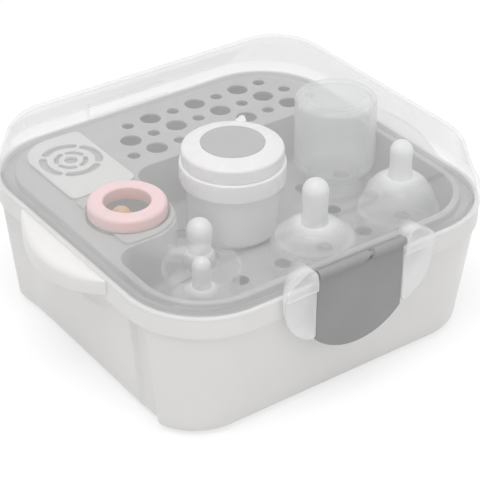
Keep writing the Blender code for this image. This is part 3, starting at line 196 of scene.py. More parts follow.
def rounded_path(corners: Array, radii: Array | float, steps: int = 6, closed: bool = True) -> Array:
    """A line through corners, each turned into an arc.

    The arc of a corner touches both of its sides, so its centre lies on their bisector at the
    radius over the sine of half the angle between them. It takes up SIDE_SHARE of either side at
    most.

    Args:
        corners: Points of shape (count, 2).
        radii: One radius for all corners, or one for each; 0 keeps a corner sharp.
        steps: Segments of each arc.
        closed: Whether the line closes; an open line keeps its two ends.

    Returns:
        Points of shape (many, 2).
    """
    count = len(corners)
    radii = np.broadcast_to(np.asarray(radii, float), count)
    runs = []
    for index, here in enumerate(corners):
        sides = np.array([corners[index - 1] - here, corners[(index + 1) % count] - here])
        lengths = np.linalg.norm(sides, axis=1)
        before, after = sides / np.maximum(lengths, TINY)[:, None]
        half = math.acos(float(np.clip(before @ after, -1, 1))) / 2
        at_end = not closed and index in (0, count - 1)
        if at_end or radii[index] <= 0 or half >= STRAIGHT:
            runs.append(here[None])
            continue
        reach = min(radii[index] / math.tan(half), SIDE_SHARE * lengths.min())
        radius = reach * math.tan(half)
        middle = here + (before + after) / np.linalg.norm(before + after) * radius / math.sin(half)
        first, last = here + before * reach - middle, here + after * reach - middle
        turn = math.atan2(first[0] * last[1] - first[1] * last[0], first @ last)
        angle = np.linspace(0, turn, steps + 1)[:, None]
        across = np.array((-first[1], first[0]))
        runs.append(middle + first * np.cos(angle) + across * np.sin(angle))
    return np.concatenate(runs)


def refined(path: Array, longest: float) -> Array:
    """The open path with points added until no stretch is longer than the longest allowed.

    Args:
        path: Points of shape (count, 2).
        longest: The longest stretch allowed.

    Returns:
        Points of shape (many, 2).
    """
    stretches = [path[:1]]
    for start, end in zip(path[:-1], path[1:]):
        count = max(1, math.ceil(float(np.linalg.norm(end - start)) / longest))
        stretches.append(blend(start, end, np.arange(1, count + 1)[:, None] / count))
    return np.vstack(stretches)


def inset_outline(outline: Array, inset: float) -> Array:
    """A closed counter-clockwise outline moved inwards by inset along each point's own normal.

    The normal is the mean direction of a point's two sides turned a quarter to the right, and a
    corner moves by the inset over the cosine of half its bend, at most by twice the inset.

    Args:
        outline: Points of shape (n, 2).
        inset: How far to move them.

    Returns:
        As many points.
    """
    before = outline - np.roll(outline, 1, axis=0)
    after = np.roll(outline, -1, axis=0) - outline
    before /= np.maximum(np.linalg.norm(before, axis=1, keepdims=True), TINY)
    after /= np.maximum(np.linalg.norm(after, axis=1, keepdims=True), TINY)
    along = before + after
    length = np.linalg.norm(along, axis=1, keepdims=True)
    along /= np.maximum(length, TINY)
    stretch = 1 / np.maximum(length / 2, 0.5)
    return outline + np.stack([-along[:, 1], along[:, 0]], axis=-1) * inset * stretch


def at_heights(outlines: Array, heights: Array) -> Array:
    """Outlines of shape (levels, n, 2) with one height each, as a grid of points."""
    tall = np.broadcast_to(np.asarray(heights, float)[:, None, None], (*outlines.shape[:2], 1))
    return np.concatenate([outlines, tall], axis=-1)


def stacked(levels: Levels, plan: Callable[[float], Array]) -> Array:
    """The grid that has the outline plan(inset) at the height of each level (inset, height)."""
    return at_heights(np.stack([plan(inset) for inset, _ in levels]), [height for _, height in levels])


def block(levels: Levels, arc_points: int = 20, side_points: int = 6) -> Shell:
    """A closed solid of rounded rectangles, its levels being (their three sizes, height).

    Args:
        levels: Pairs of half width, half depth and corner radius, and the height.
        arc_points: Points on each corner.
        side_points: Points on each side.

    Returns:
        A closed shell.
    """
    sizes = np.array([size for size, _ in levels])
    outlines = rounded_outline(*sizes.T, arc_points, side_points)
    return closed_shell(at_heights(outlines, [height for _, height in levels]))


def rims(low: float, high: float, rounding: float, steps: int = 4) -> Levels:
    """Pairs (inset, height) from low to high with a quarter circle at either end."""
    rim = quarter(rounding, steps)
    return [(inset, low + rise) for inset, rise in rim] + [(inset, high - rise) for inset, rise in rim[::-1]]


def rounded_slab(outline: Array, low: float, high: float, rounding: float) -> Array:
    """The grid of a slab whose two rims are quarter circles.

    Args:
        outline: Closed counter-clockwise plan of shape (n, 2).
        low: Height of the lower face.
        high: Height of the upper face.
        rounding: Radius of both rims.

    Returns:
        A grid for closed_shell.
    """
    return stacked(rims(low, high, rounding), lambda inset: inset_outline(outline, inset))


def upright_slab(plan: Array, near: float, far: float, rounding: float, facing: int = FRONT) -> Shell:
    """A slab with an upright (x, z) plan, from near to far along Y on the side that it faces."""
    grid = rounded_slab(plan, near, far, rounding)
    return closed_shell(np.stack([grid[..., 0], facing * grid[..., 2], grid[..., 1]], axis=-1))


def lathe(profile: Array, x: float, y: float, z: float = 0.0, count: int = 64) -> Shell:
    """A surface of revolution: the profile's point (r, h) turns into r (cos t, sin t) at height h.

    Args:
        profile: Points (radius, height). With both ends on the axis it's closed by poles, and
            otherwise it closes on itself.
        x: The axis's place along X.
        y: The axis's place along Y.
        z: Height of the profile's zero.
        count: Steps round the axis.

    Returns:
        The shell.
    """
    turn = np.linspace(0, math.tau, count, endpoint=False)
    centre = np.array((x, y, z))
    has_poles = profile[0, 0] < TINY
    rings = profile[1:-1] if has_poles else profile
    grid = at_heights(polar(rings[:, :1], turn), rings[:, 1]) + centre
    if not has_poles:
        return grid_shell(grid, wrap_rows=True)
    ends = [centre + np.array((0.0, 0.0, height)) for height in (profile[0, 1], profile[-1, 1])]
    return grid_shell(grid, first_pole=ends[0], last_pole=ends[1])


def cross_rod(radius: float, half_length: float, y: float, z: float, rounding: float) -> Shell:
    """A rod along X with rounded ends.

    Args:
        radius: Its radius.
        half_length: Half its length.
        y: The axis's place along Y.
        z: The axis's height.
        rounding: Radius of the ends' rims.

    Returns:
        A closed shell.
    """
    turn = np.linspace(0, math.tau, 32, endpoint=False)
    levels = rims(-half_length, half_length, rounding, 3)
    return closed_shell(stacked(levels, lambda inset: polar(radius - inset, turn) + (y, z))[..., [2, 0, 1]])


# Meshes


def mesh_of(name: str, shell: Shell) -> bpy.types.Mesh:
    """A mesh of the shell, its faces turned outwards.

    Args:
        name: The mesh's name.
        shell: Points, quads and triangles.

    Returns:
        The mesh, smooth but for edges bent by more than SHARP_ANGLE.
    """
    mesh = bpy.data.meshes.new(name)
    loops = np.concatenate([shell.quads.ravel(), shell.triangles.ravel()])
    totals = np.concatenate([np.full(len(shell.quads), 4), np.full(len(shell.triangles), 3)])
    starts = np.concatenate([[0], np.cumsum(totals)[:-1]])
    mesh.vertices.add(len(shell.points))
    mesh.vertices.foreach_set("co", shell.points.astype(np.float32).ravel())
    mesh.loops.add(len(loops))
    mesh.loops.foreach_set("vertex_index", loops.astype(np.int32))
    mesh.polygons.add(len(totals))
    mesh.polygons.foreach_set("loop_start", starts.astype(np.int32))
    mesh.polygons.foreach_set("loop_total", totals.astype(np.int32))
    mesh.update(calc_edges=True)
    mesh.validate()
    work = bmesh.new()
    work.from_mesh(mesh)
    bmesh.ops.remove_doubles(work, verts=work.verts, dist=MERGE)
    bmesh.ops.recalc_face_normals(work, faces=work.faces)
    work.to_mesh(mesh)
    work.free()
    soften(mesh)
    return mesh


def soften(mesh: bpy.types.Mesh) -> None:
    """Shades the mesh smooth and marks its sharp edges."""
    mesh.polygons.foreach_set("use_smooth", np.ones(len(mesh.polygons), bool))
    mesh.set_sharp_from_angle(angle=SHARP_ANGLE)


def placed(name: str, data: bpy.types.ID) -> bpy.types.Object:
    """A new object in the scene that shows the data.

    Args:
        name: The object's name.
        data: A mesh, lamp or camera.

    Returns:
        The object.
    """
    made = bpy.data.objects.new(name, data)
    bpy.context.scene.collection.objects.link(made)
    return made


def thing(name: str, shell: Shell) -> bpy.types.Object:
    """An object at the origin that shows the shell."""
    return placed(name, mesh_of(name, shell))


def points_of(mesh: bpy.types.Mesh) -> Array:
    """The mesh's points, one a row.

    Args:
        mesh: The mesh to read.

    Returns:
        Points of shape (count, 3).
    """
    points = np.empty(len(mesh.vertices) * 3, np.float32)
    mesh.vertices.foreach_get("co", points)
    return points.reshape(-1, 3)


def mark(mesh: bpy.types.Mesh, name: str, values: Array) -> None:
    """Keeps a value from 0 to 1 at each point, for a material to read."""
    mesh.attributes.new(name, "FLOAT", "POINT").data.foreach_set("value", values.astype(np.float32))


class Carving(Enum):
    """How a second solid changes the first."""

    JOIN = "UNION"
    CUT = "DIFFERENCE"


def carve(target: bpy.types.Object, steps: list[tuple[Carving, Shell]]) -> None:
    """Joins shells to target or cuts them from it, in order, and keeps only the result.

    Args:
        target: The object whose mesh changes.
        steps: Pairs of what to do and the closed shell to do it with.
    """
    tools = []
    for number, (carving, shell) in enumerate(steps):
        tool = thing(f"{target.name}_tool_{number}", shell)
        tools.append(tool)
        modifier = target.modifiers.new(f"carve_{number}", "BOOLEAN")
        modifier.operation = carving.value
        modifier.solver = "EXACT"
        modifier.object = tool
    graph = bpy.context.evaluated_depsgraph_get()
    mesh = bpy.data.meshes.new_from_object(target.evaluated_get(graph))
    target.modifiers.clear()
    target.data = mesh
    for tool in tools:
        bpy.data.objects.remove(tool, do_unlink=True)
    work = bmesh.new()
    work.from_mesh(mesh)
    bmesh.ops.remove_doubles(work, verts=work.verts, dist=MERGE * 2)
    bmesh.ops.dissolve_degenerate(work, edges=work.edges, dist=MERGE)
    work.to_mesh(mesh)
    work.free()
    soften(mesh)


# Finishes


@dataclass(frozen=True)
class Finish:
    """A moulded surface: its colour and gloss, and the small unevenness of its skin.

    A veil under 1 makes it clear: it is the share of the surface that covers what is behind it
    where it faces the eye, edge_veil that share where it is seen edge-on, and thick_veil what the
    point attribute "thickness" adds to it. The last field is painted shade: a darker, more saturated
    colour painted where the point attribute "depth" is 1, standing in for the shade that light leaves there.
    """

    slot: str
    colour: tuple[float, float, float]
    roughness: float
    roughness_spread: float = 0.08
    drift: float = 0.02
    drift_scale: float = 22.0
    grain_scale: float = 1400.0
    grain_depth: float = 0.00002
    refraction: float = 1.49
    coat: float = 0.0
    veil: float = 1.0
    edge_veil: float = 1.0
    edge_start: float = 0.45
    thick_veil: float = 0.0
    # painted shade: the colour painted where light would leave shade
    painted_shade_colour: tuple[float, float, float] | None = None


WHITE = Finish("white_plastic", (0.80, 0.792, 0.782), 0.30, drift=0.012, coat=0.15)
RACK_GREY = Finish("rack_grey_plastic", (0.40, 0.40, 0.397), 0.42, drift=0.03)
PALE_GREY = Finish("pale_grey_plastic", (0.65, 0.65, 0.645), 0.42)
LATCH_GREY = Finish("latch_grey_plastic", (0.305, 0.305, 0.305), 0.44, drift=0.04,
                    grain_scale=1900.0, grain_depth=0.00004)
CAP_WHITE = Finish("cap_white_plastic", (0.87, 0.87, 0.87), 0.27, roughness_spread=0.015,
                   drift=0.01, coat=0.2)
DISC_GREY = Finish("disc_grey_plastic", (0.34, 0.34, 0.34), 0.42, drift=0.04)
# its last colour is painted shade for the ring's bore and outer side
PINK = Finish("pink_plastic", (0.93, 0.60, 0.62), 0.34, coat=0.1, painted_shade_colour=(0.74, 0.30, 0.21))
LID_CLEAR = Finish("clear_plastic", (0.97, 0.975, 0.975), 0.10, refraction=1.75, veil=0.16,
                   edge_veil=0.44, edge_start=0.55, thick_veil=0.34)
CUP_CLEAR = Finish("clear_plastic", (0.84, 0.86, 0.845), 0.08, roughness_spread=0.05,
                   refraction=1.8, veil=0.11, edge_veil=0.52, edge_start=0.50)
BOTTLE_CLOUDY = Finish("clear_plastic", (0.90, 0.91, 0.91), 0.12, roughness_spread=0.05,
                       refraction=1.7, veil=0.28, edge_veil=0.62)
JAR_CLEAR = Finish("clear_plastic", (0.95, 0.955, 0.955), 0.10, roughness_spread=0.05,
                   refraction=1.7, veil=0.67, edge_veil=0.80)
SILICONE = Finish("silicone", (0.95, 0.955, 0.955), 0.20, grain_depth=0.00001, refraction=1.6,
                  veil=0.12, edge_veil=0.36, thick_veil=0.65)
LATEX = Finish("latex", (0.66, 0.36, 0.12), 0.28, drift=0.05, refraction=1.5, veil=0.80,
               edge_veil=0.95, edge_start=0.25)


class Nodes:
    """A node tree that nodes are added to and linked in."""

    def __init__(self, tree: bpy.types.NodeTree) -> None:
        """Keeps the tree."""
        self.tree = tree

    @classmethod
    def emptied(cls, owner: bpy.types.Material | bpy.types.World) -> "Nodes":
        """The own tree of a material or world, without its first nodes.

        Args:
            owner: The material or world.

        Returns:
            Its tree.
        """
        owner.use_nodes = True
        owner.node_tree.nodes.clear()
        return cls(owner.node_tree)

    @classmethod
    def group(cls, name: str, inputs: dict[str, tuple[str, float | None]],
              outputs: dict[str, str]) -> "Nodes":
        """A new node group.

        Args:
            name: The group's name.
            inputs: Socket name to its kind and, if it has one, its default.
            outputs: Socket name to its kind.

        Returns:
            The group's tree, still empty.
        """
        tree = bpy.data.node_groups.new(name, "ShaderNodeTree")
        for title, (kind, default) in inputs.items():
            socket = tree.interface.new_socket(title, in_out="INPUT", socket_type=f"NodeSocket{kind}")
            if default is not None:
                socket.default_value = default
        for title, kind in outputs.items():
            tree.interface.new_socket(title, in_out="OUTPUT", socket_type=f"NodeSocket{kind}")
        return cls(tree)

    def add(self, kind: str, values: dict[int | str, object] | None = None,
            **settings: object) -> bpy.types.Node:
        """Adds a node.

        Args:
            kind: The node's type, without its first part for shader nodes.
            values: Socket name to a plain value or to the output socket that feeds it.
            settings: The node's own settings.

        Returns:
            The node.
        """
        node = self.tree.nodes.new(kind if kind.startswith("NodeGroup") else f"ShaderNode{kind}")
        for name, value in settings.items():
            setattr(node, name, value)
        for name, value in (values or {}).items():
            socket = node.inputs[name]
            if isinstance(value, bpy.types.NodeSocket):
                self.tree.links.new(value, socket)
            else:
                socket.default_value = value
        return node

    def math(self, operation: str, *values: object, **settings: object) -> bpy.types.NodeSocket:
        """The result of a sum on plain values or output sockets."""
        return self.add("Math", dict(enumerate(values)), operation=operation, **settings).outputs[0]

    def seen(self) -> bpy.types.NodeSocket:
        """1 for rays that the eye sees straight, in gloss or through something clear, else 0.

        Returns:
            The output socket.
        """
        ray = self.add("LightPath").outputs
        straight = self.math("MAXIMUM", ray["Is Camera Ray"], ray["Is Glossy Ray"])
        return self.math("MAXIMUM", straight, ray["Is Transmission Ray"])


def tone_drift_group() -> bpy.types.NodeTree:
    """The group that lets a colour stray a little, as moulded plastic's tone does.

    A slow noise from 0 to 1 becomes a factor from 1 - spread to 1 + spread on the colour.

    Returns:
        The group's tree.
    """
    nodes = Nodes.group("tone_drift", {"Vector": ("Vector", None), "Colour": ("Color", None),
                                       "Scale": ("Float", 20.0), "Spread": ("Float", 0.02)},
                        {"Colour": "Color"})
    inputs = nodes.add("NodeGroupInput").outputs
    noise = nodes.add("TexNoise", {"Vector": inputs["Vector"], "Scale": inputs["Scale"], "Detail": 3.0,
                                   "Roughness": 0.55})
    factor = nodes.add("MapRange", {"Value": noise.outputs["Fac"], "From Min": 0.3, "From Max": 0.7,
                                    "To Min": nodes.math("SUBTRACT", 1.0, inputs["Spread"]),
                                    "To Max": nodes.math("ADD", 1.0, inputs["Spread"])})
    scaled = nodes.add("VectorMath", {0: inputs["Colour"], "Scale": factor.outputs["Result"]},
                       operation="SCALE")
    nodes.add("NodeGroupOutput", {"Colour": scaled.outputs["Vector"]})
    return nodes.tree


def moulded_skin_group() -> bpy.types.NodeTree:
    """The group of a moulded skin: fine grain and slow sinks as a height, and a mask of light rubbing.

    Height is the fine noise plus four times a slow one; the mask is a noise stretched along X
    whose highest part is kept.

    Returns:
        The group's tree.
    """
    nodes = Nodes.group("moulded_skin", {"Vector": ("Vector", None), "Grain Scale": ("Float", 1400.0),
                                         "Rub Scale": ("Float", 60.0)}, {"Height": "Float", "Rub": "Float"})
    inputs = nodes.add("NodeGroupInput").outputs
    place = inputs["Vector"]
    grain = nodes.add("TexNoise", {"Vector": place, "Scale": inputs["Grain Scale"], "Detail": 2.0,
                                   "Roughness": 0.5})
    sinks = nodes.add("TexNoise", {"Vector": place, "Scale": 9.0, "Detail": 1.0})
    height = nodes.math("MULTIPLY_ADD", sinks.outputs["Fac"], 4.0, grain.outputs["Fac"])
    stretch = nodes.add("VectorMath", {0: place, 1: (0.25, 1.0, 1.0)}, operation="MULTIPLY")
    rub = nodes.add("TexNoise", {"Vector": stretch.outputs["Vector"], "Scale": inputs["Rub Scale"],
                                 "Detail": 5.0, "Roughness": 0.65})
    mask = nodes.add("MapRange", {"Value": rub.outputs["Fac"], "From Min": 0.45, "From Max": 0.75,
                                  "To Min": 0.0, "To Max": 1.0})
    nodes.add("NodeGroupOutput", {"Height": height, "Rub": mask.outputs["Result"]})
    return nodes.tree


class Paintshop:
    """Makes each finish's material once and puts it on pieces."""

    def __init__(self) -> None:
        """Makes the groups that every material shares."""
        self.tone_drift = tone_drift_group()
        self.moulded_skin = moulded_skin_group()
        self.made: dict[Finish, bpy.types.Material] = {}

    def material(self, finish: Finish) -> bpy.types.Material:
        """The material of a finish.

        Args:
            finish: What it looks like.

        Returns:
            A Principled material: the drifted colour with any painted shade, roughness that rises where
            the skin is rubbed, and a bump from its grain. A clear one's alpha rises towards its edges.
        """
        if finish in self.made:
            return self.made[finish]
        material = bpy.data.materials.new(f"{finish.slot}_{len(self.made)}")
        nodes = Nodes.emptied(material)
        place = nodes.add("TexCoord").outputs["Object"]
        colour = (*finish.colour, 1.0)
        # painted shade: the colour turns to the finish's shade colour where the attribute "depth" marks
        # painted shade
        if finish.painted_shade_colour:
            depth = nodes.add("Attribute", attribute_name="depth").outputs["Fac"]
            colours = {0: depth, 6: colour, 7: (*finish.painted_shade_colour, 1.0)}
            colour = nodes.add("Mix", colours, data_type="RGBA").outputs[2]
        tone = nodes.add("Group", {"Vector": place, "Colour": colour, "Scale": finish.drift_scale,
                                   "Spread": finish.drift}, node_tree=self.tone_drift)
        skin = nodes.add("Group", {"Vector": place, "Grain Scale": finish.grain_scale},
                         node_tree=self.moulded_skin)
        roughness = nodes.add("MapRange", {"Value": skin.outputs["Rub"], "To Min": finish.roughness,
                                           "To Max": finish.roughness + finish.roughness_spread})
        bump = nodes.add("Bump", {"Strength": 0.6, "Distance": finish.grain_depth,
                                  "Height": skin.outputs["Height"]})
        shader = nodes.add("BsdfPrincipled", {
            "Base Color": tone.outputs["Colour"], "Roughness": roughness.outputs["Result"],
            "Normal": bump.outputs["Normal"], "Metallic": 0.0, "IOR": finish.refraction,
            "Coat Weight": finish.coat, "Coat Roughness": 0.08})
        if finish.veil < 1:
            facing = nodes.add("LayerWeight", {"Blend": 0.5}).outputs["Facing"]
            veil = nodes.add("MapRange", {
                "Value": facing, "From Min": finish.edge_start, "From Max": 1.0, "To Min": finish.veil,
                "To Max": finish.edge_veil}, interpolation_type="SMOOTHSTEP").outputs["Result"]
            thick = nodes.add("Attribute", attribute_name="thickness").outputs["Fac"]
            alpha = nodes.math("MULTIPLY_ADD", thick, finish.thick_veil, veil, use_clamp=True)
            nodes.tree.links.new(alpha, shader.inputs["Alpha"])
        nodes.add("OutputMaterial", {"Surface": shader.outputs["BSDF"]})
        self.made[finish] = material
        return material

    def dress(self, piece: bpy.types.Object, finish: Finish, body: Body, *nodes: str) -> bpy.types.Object:
        """Paints a finished piece, rides it on its body and lets it stand for CAD nodes.

        Args:
            piece: The finished piece.
            finish: What it looks like.
            body: The body that carries it.
            nodes: The CAD nodes that it stands for.

        Returns:
            The piece.
        """
        piece.data.materials.clear()
        piece.data.materials.append(self.material(finish))
        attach(piece, body.value)
        if nodes:
            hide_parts(*nodes)
        faces = len(piece.data.polygons)
        log.info("%s: %d faces on %s, finish %s", piece.name, faces, body.value, finish.slot)
        return piece


# Tub


@dataclass(frozen=True)
class Tub:
    """The white tub: tapered walls under a collar, set-in side panels and two grips."""

    rim: Sizes = (0.1400, 0.1370, 0.0590)
    foot: Sizes = (0.1308, 0.1201, 0.0440)
    height: float = 0.1040
    collar_tall: float = 0.0160
    collar_step: float = 0.0018
    step_gap: float = 0.0001
    collar_round: float = 0.0007
    foot_fillet: float = 0.0090
    wall: float = 0.0025
    floor: float = 0.0028
    rim_wall: float = 0.0033
    rim_round: float = 0.0012
    ledge_drop: float = 0.0060
    ledge_reach: float = 0.0026
    ledge_thick: float = 0.0012
    panel_depth: float = 0.0050
    panel_half_span: float = 0.0930
    panel_cove: float = 0.0250
    groove_depth: float = 0.0030
    groove_wall: float = 0.125
    groove_run_out: float = 0.0250
    panel_round: float = 0.0080
    scoop_depth: float = 0.0022
    scoop_half_span: float = 0.0520
    scoop_drop: float = 0.0260
    grip_reach: float = 0.0175
    grip_half_span: float = 0.0550
    grip_thick: float = 0.0024
    grip_round: float = 0.0060
    grip_drop_middle: float = 0.0175
    grip_drop_end: float = 0.0110
    grip_below_rim: float = 0.0006
    bead_half_length: float = 0.0280
    bead_reach: float = 0.0008
    bead_tall: float = 0.0024
    bead_below_rim: float = 0.0125

    def collar_foot(self) -> float:
        """The height at which the collar starts."""
        return self.height - self.collar_tall

    def wall_sizes(self, z: float) -> Array:
        """Half width, half depth and corner radius of the outer wall at height z."""
        top = np.array(self.rim) - self.collar_step
        return blend(np.array(self.foot), top, z / self.collar_foot())

    def panel_edge(self, z: Array) -> Array:
        """How far from the middle the panel reaches at heights z: a quarter circle rounds its top."""
        over = np.clip(z - (self.collar_foot() - self.panel_round), 0, self.panel_round)
        return self.panel_half_span - self.panel_round + np.sqrt(self.panel_round**2 - over**2)

    def set_in(self, y: Array, z: Array) -> Array:
        """How far the side wall is set in: a flat panel with a groove in front, and a shallow scoop.

        Over the share s of the edge's width the front has a groove, down a wall, flat, and up a
        wall, that runs out towards the foot; behind the panel comes up as 1 - s^2. The scoop is
        the lower half of an ellipse.

        Args:
            y: Places along Y.
            z: Heights.

        Returns:
            The depths, of the same shape.
        """
        s = np.clip((np.abs(y) - (self.panel_edge(z) - self.panel_cove)) / self.panel_cove, 0, 1)
        down, rise = np.clip(s / self.groove_wall, 0, 1), np.clip((1 - s) / self.groove_wall, 0, 1)
        groove = self.groove_depth * np.clip(z / self.groove_run_out, 0, 1)
        front = (self.panel_depth + groove * down) * rise
        depth = np.where(y < 0, front, self.panel_depth * (1 - s**2))
        below = (self.collar_foot() - z) / self.scoop_drop
        room = np.clip(1 - (y / self.scoop_half_span) ** 2 - below**2, 0, None)
        return depth + self.scoop_depth * np.sqrt(room)

    def rings(self, levels: Levels, recessed: Array) -> Array:
        """Levels of the wall, the side panels set in where recessed is 1.

        Points up the right side lie at shares of the panel's edge, and the rest of the corner
        follows as an arc. The other side is this one turned half a turn, with its panel's front
        and back swapped.

        Args:
            levels: Pairs of half width, half depth and corner radius, and the height.
            recessed: 1 for each level where the panel is cut, 0 where it isn't.

        Returns:
            A grid of points.
        """
        z = np.array([height for _, height in levels])
        pattern_z = np.where(recessed, z, self.collar_foot())[:, None]
        width, depth, corner = np.array([size for size, _ in levels]).T[..., None]
        edge = self.panel_edge(pattern_z)
        flat = edge - self.panel_cove
        upper = np.concatenate([flat * np.linspace(0, 1, 25),
                                flat + self.panel_cove * np.linspace(0, 1, 9)[1:]], axis=1)
        y = np.concatenate([-upper[:, :0:-1], upper], axis=1)
        straight = depth - corner
        past = np.clip(np.abs(y) - straight, 0, None)
        x = width - corner + np.sqrt(np.clip(corner**2 - past**2, 0, None))
        right, left = (x - self.set_in(turn * y, pattern_z) * recessed[:, None] for turn in (1, -1))
        start = np.arcsin(np.clip((edge - straight) / corner, 0, 1))
        angle = blend(start, QUARTER, np.linspace(0, 1, 19)[None, 1:])
        arc_x, arc_y = width - corner + corner * np.cos(angle), straight + corner * np.sin(angle)
        middle = np.linspace(1, 0, 9)[None, 1:]
        quarter_x = np.concatenate([arc_x, arc_x[:, -1:] * middle], axis=1)
        quarter_y = np.concatenate([arc_y, np.broadcast_to(arc_y[:, -1:], (len(z), 8))], axis=1)
        end_x = np.concatenate([quarter_x, -quarter_x[:, -2::-1]], axis=1)
        end_y = np.concatenate([y, quarter_y, quarter_y[:, -2::-1]], axis=1)
        outline = np.stack([np.concatenate([right, end_x, -left, -end_x], axis=1),
                            np.concatenate([end_y, -end_y], axis=1)], axis=-1)
        return at_heights(outline, z)

    def shell(self) -> Shell:
        """The skin from the middle of the underside, up the outside, over the rim and down inside.

        Returns:
            A closed shell.
        """
        foot, rim = self.collar_foot(), np.array(self.rim)
        scoop_foot = foot - self.scoop_drop
        wall_z = [*np.linspace(self.foot_fillet, scoop_foot, 12)[1:],
                  *np.linspace(scoop_foot, foot - self.step_gap, 24)[1:]]
        outside = [(self.wall_sizes(rise) - inset, rise) for inset, rise in quarter(self.foot_fillet, 8)]
        outside += [(self.wall_sizes(z), z) for z in wall_z]
        collar = [(rim - self.collar_step, foot)]
        collar += [(rim - inset, foot + rise) for inset, rise in quarter(self.collar_round, 5)]
        collar += [(rim - rise, self.height - inset) for inset, rise in quarter(self.rim_round, 5)]
        mouth = rim - self.rim_wall
        collar += [(mouth + inset, self.height - rise) for inset, rise in quarter(self.rim_round / 2, 5)]
        ledge_top = self.height - self.ledge_drop
        ledge = mouth - self.ledge_reach
        collar += [(mouth, ledge_top), (ledge, ledge_top), (ledge, ledge_top - self.ledge_thick),
                   (rim - self.collar_step - self.wall, ledge_top - self.ledge_thick - self.ledge_reach)]
        inside = [(self.wall_sizes(z) - self.wall, z) for z in wall_z[-2::-1]]
        for inset, rise in quarter(self.foot_fillet - self.wall, 8)[::-1]:
            inside.append((self.wall_sizes(self.floor + rise) - (self.wall + inset), self.floor + rise))
        recessed = np.repeat((1, 0, 1), (len(outside), len(collar), len(inside)))
        return closed_shell(self.rings(outside + collar + inside, recessed))

    def grip(self, side: int) -> Shell:
        """The lip that the fingers lift by, a hooked section carried along Y.

        Its reach falls and its tip rises with the square of the share s of the half span:
        reach = R (1 - s^2) + t / 2. The outer bend is a quarter circle from top to face, and the
        inner bend one of half its radius.

        Args:
            side: -1 for the left grip, 1 for the right.

        Returns:
            A closed shell that reaches a little into the collar.
        """
        span = np.sin(np.linspace(-QUARTER, QUARTER, 49))[:, None]
        fall = span**2
        thick = self.grip_thick
        reach = self.grip_reach * (1 - fall) + thick / 2
        top = self.height - self.grip_below_rim
        bend = np.minimum(self.grip_round, reach / 2)
        down = np.linspace(QUARTER, 0, 9)[None]
        outer_x, outer_z = reach - bend + bend * np.cos(down), top - bend + bend * np.sin(down)
        inner_x = reach - thick - bend / 2 + bend / 2 * np.cos(down[:, ::-1])
        inner_z = top - thick - bend / 2 + bend / 2 * np.sin(down[:, ::-1])
        drop = blend(self.grip_drop_middle, self.grip_drop_end, fall)
        tip = np.minimum(top - drop, inner_z[:, :1] - thick / 4)
        lip = np.linspace(0, math.pi, 7)[None]
        lip_x, lip_z = reach - thick / 2 + thick / 2 * np.cos(lip), tip + thick / 2 * (1 - np.sin(lip))
        root, upper = np.full_like(reach, -FUSE), np.full_like(reach, top)
        x = np.concatenate([root, outer_x, lip_x, inner_x, root], axis=1)
        z = np.concatenate([upper, outer_z, lip_z, inner_z, upper - thick], axis=1)
        y = np.broadcast_to(self.grip_half_span * span, x.shape)
        return closed_shell(np.stack([side * (self.rim[0] + np.maximum(x, -FUSE)), y, z], axis=-1))

    def bead(self, facing: int) -> Shell:
        """The low bead that the latch or hook snaps over, a half-round section carried along X.

        Args:
            facing: FRONT or BACK.

        Returns:
            A closed shell.
        """
        turn = np.linspace(-QUARTER, QUARTER, 9)
        middle, half = self.height - self.bead_below_rim, self.bead_tall / 2
        root = self.rim[1] - FUSE
        y = np.array([root, *(self.rim[1] + self.bead_reach * np.cos(turn)), root])
        z = np.array([middle - half, *(middle + half * np.sin(turn)), middle + half])
        x = self.bead_half_length * np.linspace(-1, 1, 5)[:, None]
        return closed_shell(np.stack(np.broadcast_arrays(x, facing * y, z), axis=-1))

    def build(self, paint: Paintshop) -> None:
        """Builds and dresses the tub.

        Args:
            paint: Makes the finishes' materials.
        """
        tub = thing("tub_shell", self.shell())
        carve(tub, [(Carving.JOIN, make(side)) for make in (self.grip, self.bead) for side in (-1, 1)])
        paint.dress(tub, WHITE, Body.TUB, "base_tub")


# Rack


